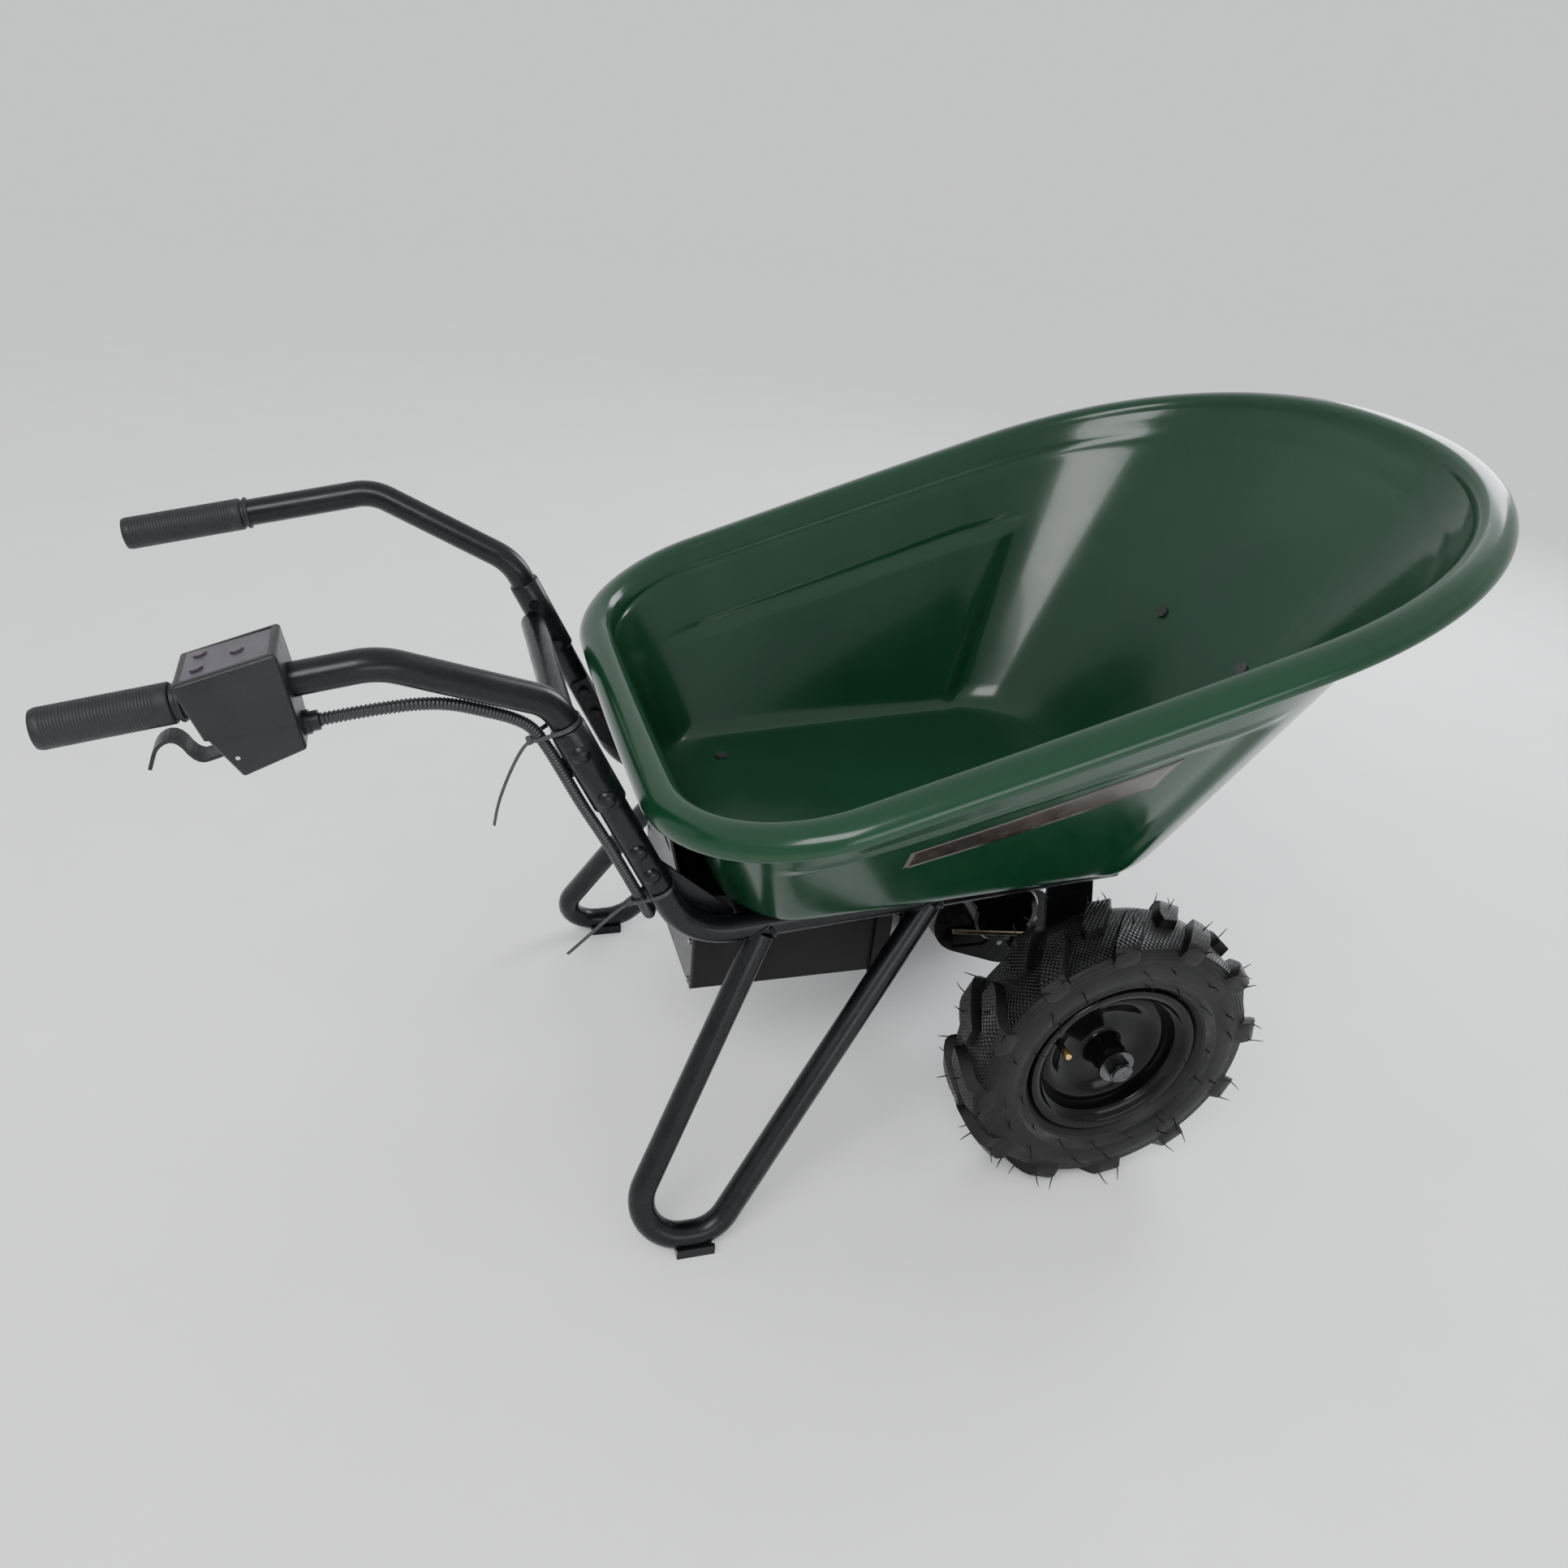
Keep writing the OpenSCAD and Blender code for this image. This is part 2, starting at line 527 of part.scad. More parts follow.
// Rear plate: closes the box and leans back up along the tub
plate_t = 3;
plate_bend_z = box_z + 75;
plate_top = [60, rim_z - 98];
slot_z = plate_top[1] - 40;
plate_lean = unit([plate_top[0] - box_x0, 0, plate_top[1] - plate_bend_z]);
plate_nrm = [-plate_lean[2], 0, plate_lean[0]];  // out of the plate, to the rear
gland_d = conduit_d + 5;
gland_at = [box_x0, -125, plate_bend_z] + plate_lean*72;
module box_rear_plate() color([0.25, 0.25, 0.27]) place() difference() {
    y_plate([[box_x0, box_z], [box_x0 - plate_t, box_z], [box_x0 - plate_t, plate_bend_z],
             [plate_top[0] - plate_t, plate_top[1]], [plate_top[0], plate_top[1]],
             [box_x0, plate_bend_z]], -box_hw, 2*box_hw);
    for (s = [-1, 1]) hull() for (e = [-1, 1])
        translate([40, s*95 + e*16, slot_z]) rotate([0, 90, 0]) cylinder(d = 16, h = 80, $fn = 32);
    rod(gland_at - plate_nrm*20, gland_at + plate_nrm*20, gland_d + 2*fit);
    for (y = screw_y, z = screw_z) rod([box_x0 - 9, y, z], [box_x0 + 9, y, z], 4.4);
}
// Front flange that wraps the front edge of the box
flange_w = 18;
module box_front_flange() color([0.1, 0.1, 0.1]) place() difference() {
    translate([box_x1 - flange_w, -box_hw - sheet - 4, box_z - sheet - 3])
        cube([flange_w + sheet + 1, 2*(box_hw + sheet + 4), box_top - box_z + sheet + 3]);
    translate([box_x1 - flange_w - 1, -box_hw - fit, box_z - fit])
        cube([flange_w + 1 + fit, 2*(box_hw + fit), box_top - box_z + 10]);
}
// Two straps that carry the box from the rails
box_strap_x = [150, 310];
module box_straps() color([0.12, 0.12, 0.13]) place() for (x = box_strap_x) difference() {
    translate([x - 14, -rail_yx(x), box_top]) cube([28, 2*rail_yx(x), 5]);
    for (s = [-1, 1]) rail_run(s, seat);
}
battery_l = 151;
battery_w = 99;
battery_h = min(96, box_top - box_z - 2*sheet - 2);
module batteries() color([0.2, 0.2, 0.24]) place() for (s = [-1, 1]) {
    translate([box_x0 + 8, s > 0 ? 3 : -3 - battery_w, box_z + sheet])
        cube([battery_l, battery_w, battery_h - 6]);
    for (x = [22, 128]) translate([box_x0 + x, s*(3 + battery_w/2), box_z + sheet + battery_h - 6])
        cylinder(d = 12, h = 6);
}
ctrl_l = 66;
module motor_controller() color("silver") place() difference() {
    translate([box_x1 - sheet - 4 - ctrl_l, -62, box_z + sheet]) cube([ctrl_l, 124, 44]);
    for (i = [0:9]) translate([box_x1 - sheet - 4 - ctrl_l - 1, -56 + i*12, box_z + sheet + 34])
        cube([ctrl_l + 2, 6, 20]);
}
socket_d = 22;
socket_at = [box_x0 + 34, box_z + 84];
module charger_socket() color([0.08, 0.08, 0.08]) place() difference() {
    union() {
        y_rod(socket_at[0], socket_at[1], -box_hw, -box_hw + 18, socket_d);
        y_rod(socket_at[0], socket_at[1], -box_hw - 3, -box_hw, socket_d + 7);
    }
    y_rod(socket_at[0], socket_at[1], -box_hw - 4, -box_hw + 12, socket_d - 6);
}
screw_y = [-box_hw + 9, box_hw - 9];
screw_z = [box_z + 9, plate_bend_z - 8];
// Pan head screws through the rear plate into square nuts behind it
module box_screws() color("gray") place() for (y = screw_y, z = screw_z) {
    rod([box_x0 - plate_t - 2.4, y, z], [box_x0 - plate_t, y, z], 8);
    rod([box_x0 - plate_t, y, z], [box_x0 + 8, y, z], 4);
    translate([box_x0 + 0.2, y - 4, z - 4]) cube([3, 8, 8]);
}

// ---- drive ---------------------------------------------------------------------------------

first_dist = (motor_teeth + first_teeth)*first_mod/2;
second_dist = (second_teeth + final_teeth)*second_mod/2;
motor_x = axle_x - 58;
motor_z = axle_z + 78;
motor_axle = norm([axle_x - motor_x, axle_z - motor_z]);
idler_along = (first_dist*first_dist - second_dist*second_dist + motor_axle*motor_axle)/(2*motor_axle);
idler_off = sqrt(first_dist*first_dist - idler_along*idler_along);
to_axle = [axle_x - motor_x, axle_z - motor_z]/motor_axle;
idler_x = motor_x + to_axle[0]*idler_along + to_axle[1]*idler_off;
idler_z = motor_z + to_axle[1]*idler_along - to_axle[0]*idler_off;

// Straight sided gear teeth, narrow enough to run free of each other
module gear(x, z, y0, y1, n, m, phase) translate([x, y1, z]) rotate([90, 0, 0])
    linear_extrude(y1 - y0) {
        pr = n*m/2;
        circle(pr - 1.1*m);
        for (i = [0:n-1]) rotate(phase + 360*i/n) polygon([
            [pr - 1.4*m, -0.82*m], [pr, -0.64*m], [pr + 0.85*m, -0.3*m],
            [pr + 0.85*m, 0.3*m], [pr, 0.64*m], [pr - 1.4*m, 0.82*m]]);
    }
// Angle of the line between two centres, as seen with X right and Z up
function sight(xa, za, xb, zb) = atan2(zb - za, xb - xa);
motor_sight = sight(motor_x, motor_z, idler_x, idler_z);
axle_sight = sight(idler_x, idler_z, axle_x, axle_z);

case_wall = 4;
case_hy = 32;               // half width of the gear case
case_clear = 5;
case_r = [motor_teeth*first_mod/2 + 14, first_teeth*first_mod/2 + first_mod + case_clear,
          final_teeth*second_mod/2 + second_mod + case_clear];
case_c = [[motor_x, motor_z], [idler_x, idler_z], [axle_x, axle_z]];
module case_shape(grow) for (j = [0:2]) hull() for (i = [j, (j+1) % 3])
    translate(case_c[i]) circle(case_r[i] + grow, $fn = 64);
module case_block(y0, y1, grow) translate([0, y1, 0]) rotate([90, 0, 0])
    linear_extrude(y1 - y0) { case_shape(grow); polygon(case_c); }
cover_t = 6;
shaft_d = 12;
axle_tube_d = 44;
bearing_d = 38;
magnet_t = 5;

module gear_case() color([0.07, 0.07, 0.08]) place() difference() {
    case_block(-case_hy + cover_t, case_hy, case_wall);
    case_block(-case_hy + cover_t - 1, case_hy - case_wall, 0);
    y_rod(axle_x, axle_z, 0, case_hy + 1, axle_tube_d + 2*fit);
}
module gear_case_cover() color([0.08, 0.08, 0.09]) place() difference() {
    case_block(-case_hy, -case_hy + cover_t, case_wall);
    y_rod(axle_x, axle_z, -case_hy - 1, 0, axle_tube_d + 2*fit);
    y_rod(motor_x, motor_z, -case_hy - 1, 0, 2*rotor_seat_r);
}
oval_x = idler_x - 2;
oval_z = idler_z - 30;
// Ribbed oval inspection cover on the near face of the gear case
module oval_cover() color([0.07, 0.07, 0.08]) place() translate([oval_x, -case_hy, oval_z])
    rotate([90, 0, 0]) {
        linear_extrude(6) hull() for (e = [-1, 1]) translate([e*20, 0]) circle(15);
        linear_extrude(8.5) difference() {
            hull() for (e = [-1, 1]) translate([e*20, 0]) circle(12);
            hull() for (e = [-1, 1]) translate([e*20, 0]) circle(9.5);
        }
    }
// Cap screws round the housing of the axle
module case_screws() color("gray") place() for (a = [25, 125, 230, 280, 330]) {
    p = case_c[2] + [cos(a), sin(a)]*(axle_tube_d/2 + 9);
    y_hex(p[0], p[1], -case_hy - 5, -case_hy, 8);
}

rotor_r = motor_d/2 - 6 - magnet_t - 1;
rotor_seat_r = 17;
motor_y1 = -case_hy;
motor_y0 = motor_y1 - motor_len;
module motor_casing() color([0.03, 0.03, 0.04]) place() difference() {
    translate([motor_x, motor_y1, motor_z]) rotate([90, 0, 0]) rotate_extrude() polygon([
        [0, 0], [motor_d/2, 0], [motor_d/2, motor_len - 8], [motor_d/2 - 3, motor_len - 3],
        [motor_d/2 - 12, motor_len], [0, motor_len]]);
    y_rod(motor_x, motor_z, motor_y0 + 6, motor_y1 - 5, motor_d - 12);
    y_rod(motor_x, motor_z, motor_y1 - 6, motor_y1 + 1, 2*(shaft_d/2 + fit));
}
module motor_magnets() color("dimgray") place() for (a = [0:90:270])
    translate([motor_x, motor_y1 - 10, motor_z]) rotate([90, 0, 0]) rotate([0, 0, a])
        rotate_extrude(angle = 66) translate([rotor_r + 1, 0])
            square([magnet_t - seat, motor_len - 26]);
gear1_y = [-20, -8];
gear2_y = [-3, 17];
module motor_rotor() color("peru") place() {
    y_rod(motor_x, motor_z, motor_y0 + 6.4, gear1_y[1] + 4, shaft_d);
    y_rod(motor_x, motor_z, motor_y0 + 20, motor_y1 - 12, 2*rotor_r);
    gear(motor_x, motor_z, gear1_y[0], gear1_y[1], motor_teeth, first_mod, motor_sight);
}
module first_gear() color("silver") place() {
    y_rod(idler_x, idler_z, -case_hy + cover_t + 0.3, case_hy - case_wall - 0.3, shaft_d);
    gear(idler_x, idler_z, gear1_y[0], gear1_y[1], first_teeth, first_mod,
         motor_sight + 180 + 180/first_teeth);
    gear(idler_x, idler_z, gear2_y[0], gear2_y[1], second_teeth, second_mod, axle_sight);
}

bracket_y = 190;
bracket_t = 6;
module axle_housings() color([0.08, 0.08, 0.09]) place() both() difference() {
    y_rod(axle_x, axle_z, case_hy - case_wall, bracket_y + 12, axle_tube_d);
    y_rod(axle_x, axle_z, case_hy - case_wall - 1, bracket_y - 4, axle_d + 6);
    y_rod(axle_x, axle_z, bracket_y - 5, bracket_y + 13, bearing_d + 2*fit);
}
module axle_bearings() color("silver") place() both() difference() {
    y_rod(axle_x, axle_z, bracket_y - 4, bracket_y + 10, bearing_d);
    y_rod(axle_x, axle_z, bracket_y - 5, bracket_y + 11, axle_d + 2*fit);
}
// Upright plates from the rails down to the axle housings
bracket_top = [axle_x - 34, rail_z(axle_x - 34)];
bracket_w = 62;
module axle_brackets() color([0.1, 0.1, 0.11]) place() both() difference() {
    translate([0, bracket_y + bracket_t - 8, 0]) rotate([90, 0, 0]) linear_extrude(bracket_t)
        difference() {
            hull() {
                translate([axle_x, axle_z]) circle(axle_tube_d/2 + 11);
                translate([bracket_top[0] - bracket_w/2, bracket_top[1] - 1]) square([bracket_w, 2]);
            }
            translate([axle_x, axle_z]) circle(axle_tube_d/2 + fit);
        }
    rail_run(1, seat);
}
module bracket_bolts() color("gray") place() both() for (e = [-1, 1])
    y_hex(axle_x + e*18, axle_z + 23, bracket_y - 2, bracket_y + 4, 10);

module drive_axle() color("silver") place() {
    y_rod(axle_x, axle_z, -axle_tip, axle_tip, axle_d);
    gear(axle_x, axle_z, gear2_y[0], gear2_y[1], final_teeth, second_mod,
         axle_sight + 180 + 180/final_teeth);
    for (s = [-1, 1]) y_rod(axle_x, axle_z, s > 0 ? bracket_y + 14 : -hub_y0,
                            s > 0 ? hub_y0 : -bracket_y - 14, axle_d + 12);
}
hub_y0 = wheel_y - tyre_w/2 - 2;
flange_y = wheel_y + 38;
axle_tip = flange_y + 22;
disc_y = wheel_y + 4;
hub_r = axle_d/2 + 10;

// Pressed steel rim: two flanges, a well between them, a dished disc and a hub tube
module rim_profile() difference() {
    polygon(concat(
        [[axle_d/2 + fit, hub_y0], [hub_r, hub_y0], [hub_r, disc_y - 6], [52, disc_y - 6],
         [74, disc_y + 6], [86, disc_y + 2]],
        [[86, wheel_y - 28], [96, wheel_y - 31], [98, wheel_y - 36], [flange_d/2 - 3, wheel_y - 37],
         [flange_d/2, wheel_y - 35], [flange_d/2, wheel_y - 32], [flange_d/2 + 1, wheel_y - 32]],
        [[flange_d/2 + 1, wheel_y + 32], [flange_d/2, wheel_y + 35], [flange_d/2 - 3, wheel_y + 38],
         [98, wheel_y + 37], [95, wheel_y + 31], [89, wheel_y + 28], [88, disc_y + 9],
         [76, disc_y + 12], [50, disc_y], [hub_r, disc_y], [hub_r, flange_y - 4],
         [axle_d/2 + fit, flange_y - 4]]));
    // bead seats and well, where the tyre sits
    polygon([[102, wheel_y - 31], [102, wheel_y - 18], [92, wheel_y - 12], [92, wheel_y + 12],
             [102, wheel_y + 18], [102, wheel_y + 31], [200, wheel_y + 31], [200, wheel_y - 31]]);
}
module rim() translate([axle_x, 0, axle_z]) rotate([-90, 0, 0])
    rotate_extrude($fn = 96) rim_profile();
module right_rim() color([0.03, 0.03, 0.03]) place() mirror([0, 1, 0]) rim();
module left_rim() color([0.03, 0.03, 0.03]) place() rim();

// Tyre carcass, a hollow ring, with a lug tread of slanted bars
tread_h = 14;
lug_n = 16;
module tyre_profile() {
    t = tyre_w/2;
    c = wheel_r - tread_h;
    polygon([[102 + fit, -30.5], [flange_d/2 + 2, -30.8], [flange_d/2 + 12, -t + 8], [150, -t + 1],
             [164, -t + 2], [c - 6, -t + 9], [c, -t + 18], [c, t - 18], [c - 6, t - 9],
             [164, t - 2], [150, t - 1], [flange_d/2 + 12, t - 8], [flange_d/2 + 2, 30.8],
             [102 + fit, 30.5], [102 + fit, 19], [107, 21], [122, 34], [150, 41], [168, 36],
             [c - 9, 24], [c - 9, -24], [168, -36], [150, -41], [122, -34], [107, -21],
             [102 + fit, -19]]);
}
lug_l = tyre_w/2 + 1;
module lug(s) rotate([0, 0, s > 0 ? 0 : 180/lug_n]) translate([0, 0, s > 0 ? -3 : 5 - lug_l])
    linear_extrude(lug_l - 3)
        polygon([[wheel_r - tread_h - 6, -11], [wheel_r, -8.5], [wheel_r - 0.15, 8.5],
                 [wheel_r - tread_h - 6, 11]]);
module tyre() translate([axle_x, wheel_y, axle_z]) rotate([-90, 0, 0]) {
    rotate_extrude($fn = 96) tyre_profile();
    intersection() {
        rotate_extrude($fn = 96) polygon([
            [wheel_r - tread_h - 4, -tyre_w/2 + 4], [wheel_r - 8, -tyre_w/2],
            [wheel_r - 2, -tyre_w/2 + 8], [wheel_r, -tyre_w/2 + 22], [wheel_r, tyre_w/2 - 22],
            [wheel_r - 2, tyre_w/2 - 8], [wheel_r - 8, tyre_w/2],
            [wheel_r - tread_h - 4, tyre_w/2 - 4]]);
        for (i = [0:lug_n-1], s = [-1, 1]) rotate(360*i/lug_n) lug(s);
    }
}
module right_tyre() color([0.09, 0.09, 0.09]) place() mirror([0, 1, 0]) tyre();
module left_tyre() color([0.09, 0.09, 0.09]) place() tyre();

nut_t = 12;
nut_y = flange_y + 8;
module axle_nuts() color("dimgray") place() both() difference() {
    union() {
        y_hex(axle_x, axle_z, nut_y, nut_y + nut_t, 27);
        y_rod(axle_x, axle_z, flange_y - 4, nut_y - 4, 2*hub_r - 6);
        y_rod(axle_x, axle_z, nut_y - 4, nut_y, 2*hub_r + 2);
    }
    y_rod(axle_x, axle_z, flange_y - 6, axle_tip + 5, axle_d + 2*fit);
}
valve_a = 118;
valve_r = 80;
module valve_stems() color("goldenrod") place() both()
    translate([axle_x + valve_r*cos(valve_a), 0, axle_z + valve_r*sin(valve_a)]) {
        translate([0, disc_y + 40, 0]) rotate([90, 0, 0]) cylinder(d = 8, h = 27.8);
        translate([0, disc_y + 44, 0]) rotate([90, 0, 0]) cylinder(d = 10, h = 9);
    }

// Threaded brake rod with its spring eyes, beside the gear case
rod_y = -150;
module brake_rod() color("darkkhaki") place() {
    rod([axle_x - 160, rod_y, axle_z + 96], [axle_x - 22, rod_y, axle_z + 74], 6);
    y_rod(axle_x - 24, axle_z + 74, -bracket_y + 8, rod_y + 8, 10);
}

// ---- controls ------------------------------------------------------------------------------

// Frame of the control housing: X along the grip, on the axis of the right handle
ctl_x = -363;
module ctl() translate([ctl_x, -grip_y, bend1[2] + (ctl_x - bend1[0])*grip_rise])
    rotate([0, -grip_ang, 0]) children();
// Corners of the two shells as [x, z, half width]
ledge_z = -29;
top_c = [[-44, 30, -2], [46, 41, -2], [47, ledge_z, 0], [-33, ledge_z, 0]];
base_c = [[-31, ledge_z, -3], [46, ledge_z, -3], [46, -58, -9], [-15, -71, -9]];
ctl_round = 4;
panel_ang = atan((top_c[1][1] - top_c[0][1])/(top_c[1][0] - top_c[0][0]));
module panel_frame() translate([(top_c[0][0] + top_c[1][0])/2, 0, (top_c[0][1] + top_c[1][1])/2])
    rotate([0, -panel_ang, 0]) children();
// Hull of balls set in from the corners; r shrinks for the inside
module ctl_form(c, r) {
    mx = (c[0][0] + c[1][0] + c[2][0] + c[3][0])/4;
    mz = (c[0][1] + c[1][1] + c[2][1] + c[3][1])/4;
    hull() for (q = c, s = [-1, 1])
        translate([q[0] - sign(q[0] - mx)*ctl_round, s*(ctl_w/2 + q[2] - ctl_round),
                   q[1] - sign(q[1] - mz)*ctl_round]) sphere(r, $fn = 20);
}
tube_bore = tube_r + fit;
panel_t = 1.8;
panel_l = 76;
panel_w = ctl_w - 18;
panel_sink = 0.4;
top_deck = 5;               // depth of the deck's underside below the top face
// Places of the buttons on the panel
power_at = [-25, panel_w*0.30];
forward_at = [9, 1];
reverse_at = [-25, -panel_w*0.22];

module control_top() color([0.16, 0.16, 0.17]) place() ctl() difference() {
    intersection() {
        ctl_form(top_c, ctl_round);
        translate([-80, -80, ledge_z + ctl_round]) cube([160, 160, 120]);
    }
    difference() {
        ctl_form(top_c, ctl_round - ctl_wall);
        panel_frame() translate([-80, -80, -top_deck]) cube([160, 160, 40]);
    }
    translate([-33 + ctl_wall + 2, -ctl_w/2 + ctl_wall, ledge_z])
        cube([80 - 2*ctl_wall - 3, ctl_w - 2*ctl_wall, 12]);
    translate([-80, 0, 0]) rotate([0, 90, 0]) cylinder(r = tube_bore, h = 160);
    panel_frame() translate([-panel_l/2 - 0.2, -panel_w/2 - 0.2, -panel_t - panel_sink])
        cube([panel_l + 0.4, panel_w + 0.4, 10]);
    for (b = [power_at, forward_at, reverse_at]) panel_frame()
        translate([b[0], b[1], -top_deck - 5]) cylinder(d = button_d + 2*fit, h = 12);
}
pivot = [-12, -50];
pin_d = 4;
base_top = ledge_z + ctl_round;
module control_base() color([0.16, 0.16, 0.17]) place() ctl() difference() {
    intersection() {
        ctl_form([base_c[0] + [0, 8, 0], base_c[1] + [0, 8, 0], base_c[2], base_c[3]], ctl_round);
        translate([-80, -80, -120]) cube([160, 160, 120 + base_top]);
    }
    intersection() {
        ctl_form([base_c[0] + [0, 12, 0], base_c[1] + [0, 12, 0], base_c[2], base_c[3]],
                 ctl_round - ctl_wall);
        translate([-80, -80, -120]) cube([160, 160, 140 + base_top]);
    }
    translate([-45, -paddle_w/2 - 0.6, pivot[1] - 10]) cube([28, paddle_w + 1.2, 15]);
    translate([pivot[0], 50, pivot[1]]) rotate([90, 0, 0]) cylinder(d = pin_d + 2*fit, h = 100);
    translate([40, 0, ctl_gland_z]) rotate([0, 90, 0]) cylinder(d = gland_d + 2*fit, h = 20);
}
ctl_gland_z = -44;

module keypad_panel() color([0.25, 0.22, 0.27]) place() ctl() panel_frame() difference() {
    translate([-panel_l/2, -panel_w/2, -panel_t - panel_sink]) cube([panel_l, panel_w, panel_t]);
    for (b = [power_at, forward_at, reverse_at])
        translate([b[0], b[1], -10]) cylinder(d = button_d + 2*fit, h = 20);
}
flange_gap = 0.3;
flange_h = 1.6;
module button(b) place() ctl() panel_frame() translate([b[0], b[1], 0]) {
    translate([0, 0, -top_deck - flange_gap - flange_h]) cylinder(d = button_d + 3, h = flange_h);
    translate([0, 0, -top_deck - flange_gap - 0.5])
        cylinder(d = button_d, h = top_deck + flange_gap + 0.5 + button_travel);
    translate([0, 0, button_travel]) cylinder(d1 = button_d, d2 = button_d - 2, h = 0.6);
}
module power_button() color([0.3, 0.2, 0.25]) button(power_at);
module forward_button() color([0.28, 0.25, 0.28]) button(forward_at);
module reverse_button() color([0.28, 0.25, 0.28]) button(reverse_at);
board_z = -top_deck - flange_gap - flange_h - button_travel - 0.4;
module keypad_board() color("seagreen") place() ctl() panel_frame()
    translate([-33, -ctl_w/2 + 2 + ctl_wall + seat, board_z - 1.6])
        cube([66, ctl_w - 4 - 2*ctl_wall - 2*seat, 1.6]);

// Ribbon of thickness t along points p in a plane, as a closed outline
function leftward(p, i) = let (a = p[max(i-1, 0)], b = p[min(i+1, len(p)-1)], t = (b - a)/norm(b - a))
    [-t[1], t[0]];
function ribbon(p, t) = concat([for (i = [0:len(p)-1]) p[i] + leftward(p, i)*t/2],
                               [for (i = [len(p)-1:-1:0]) p[i] - leftward(p, i)*t/2]);
// Smooth curve through the corner cuts of a polyline
function smooth(p) = concat([p[0]], [for (i = [0:len(p)-2]) each
    [p[i]*0.75 + p[i+1]*0.25, p[i]*0.25 + p[i+1]*0.75]], [p[len(p)-1]]);
paddle_line = smooth(smooth([pivot, [-34, -55], [-50, -56], [-60, -29], [-78, -32], [-90, -54]]));
hub_d = 9;
module throttle_paddle() color([0.13, 0.13, 0.14]) place() ctl() difference() {
    union() {
        y_plate(ribbon(paddle_line, 3.6), -paddle_w/2, paddle_w);
        translate([pivot[0], paddle_w/2, pivot[1]]) rotate([90, 0, 0])
            cylinder(d = hub_d, h = paddle_w);
    }
    translate([pivot[0], 50, pivot[1]]) rotate([90, 0, 0]) cylinder(d = pin_d + 2*fit, h = 100);
}
pin_l = ctl_w - 14;
module throttle_pin() color("silver") place() ctl()
    translate([pivot[0], pin_l/2, pivot[1]]) rotate([90, 0, 0]) cylinder(d = pin_d, h = pin_l);

// ---- conduit -------------------------------------------------------------------------------

conduit_r = conduit_d/2;
// Route of the conduit under the handle, down the rail and into the rear plate
conduit_route = [
    [-303.2, -252, 694.8], [-287.4, -252, 697.6], [-262, -251, 701], [-238, -249, 703], [-210, -242, 702],
    [-180, -231, 695], [-150, -221, 681], [-122, -209, 666], [-101, -203, 651],
    [-86, -200, 626], [-67, -200, 588], [-48, -200, 550], [-24, -200, 508],
    [-4, -200, 468], [12, -200, 436], [22, -196, 414], [29, -186, 396], [35, -168, 382],
    [40, -147, 377], [46, -130, 377], [56.5, -125, 379.3], [72, -125, 383]];
function ring_at(p, i, r, n) = let (
    t = unit(p[min(i+1, len(p)-1)] - p[max(i-1, 0)]),
    a = unit(cross([0, 1, 0], t)), b = cross(t, a))
    [for (k = [0:n-1]) p[i] + a*r*cos(360*k/n) + b*r*sin(360*k/n)];
module swept(p, r, n) skin([for (i = [0:len(p)-1]) ring_at(p, i, r, n)]);
module conduit() color([0.1, 0.1, 0.1]) place() swept(smooth(conduit_route), conduit_r, 10);

// Gland: flange and collar round the end of the conduit
module gland() difference() {
    union() {
        cylinder(d = gland_d, h = 8);
        translate([0, 0, 3]) cylinder(d = gland_d + 5, h = 5);
        translate([0, 0, 8]) cylinder(d = gland_d + 1, h = 8);
    }
    translate([0, 0, 6]) cylinder(d = conduit_d + 1.6, h = 20);
}
module conduit_glands() color([0.1, 0.1, 0.1]) place() {
    ctl() translate([43, 0, ctl_gland_z]) rotate([0, 90, 0]) gland();
    along(gland_at + plate_nrm*(plate_t*plate_lean[2] - 3), plate_nrm) gland();
}

// Cable ties: a band round tube and conduit, a head, and a tail that stands away
tie_w = 5;
tie_at = [bend2 + rail_dir*23.5, sleeve_b + rail_dir*126];
module tie(p, off, tail) along(side(p, -1, rail_y), rail_dir) {
    linear_extrude(tie_w) difference() {
        hull() { circle(tube_r + 1.6); translate([-off, 0]) circle(conduit_r + 4.5); }
        hull() { circle(tube_r + seat); translate([-off, 0]) circle(conduit_r + 3.2); }
        translate([-9, -tube_r - 9]) square([18, 9 + seat]);   // the gusset's side stays clear
    }
    translate([-off - conduit_r - 8, -3.5, -1]) cube([5.5, 7, tie_w + 2]);
    translate([0, 0.6, 0]) rotate([90, 0, 0]) linear_extrude(1.2)
        polygon(ribbon(smooth(smooth([for (q = tail) [q[0] - off - conduit_r - 5, q[1] + 2.5]])), 3));
}
module cable_ties() color([0.08, 0.08, 0.08]) place() {
    tie(tie_at[0], tube_r + conduit_r + 4.8, [[0, 3], [-4, 20], [-4, 50], [1, 88]]);
    tie(tie_at[1], tube_r + conduit_r + 2, [[0, 3], [-6, 12], [-10, 40], [-8, 66]]);
}

tub();
side_decal();
right_handle();
left_handle();
right_grip();
left_grip();
joint_sleeves();
crossbar();
right_rail();
left_rail();
gussets();
floor_strap();
front_crossbar();
front_braces();
right_leg();
left_leg();
feet();
handle_bolts();
gusset_bolts();
tub_bolts();
battery_box();
box_rear_plate();
box_front_flange();
box_straps();
batteries();
motor_controller();
charger_socket();
box_screws();
gear_case();
gear_case_cover();
oval_cover();
case_screws();
motor_casing();
motor_magnets();
motor_rotor();
first_gear();
axle_housings();
axle_brackets();
bracket_bolts();
drive_axle();
axle_bearings();
right_rim();
left_rim();
right_tyre();
left_tyre();
axle_nuts();
valve_stems();
brake_rod();
control_top();
control_base();
keypad_panel();
keypad_board();
power_button();
forward_button();
reverse_button();
throttle_paddle();
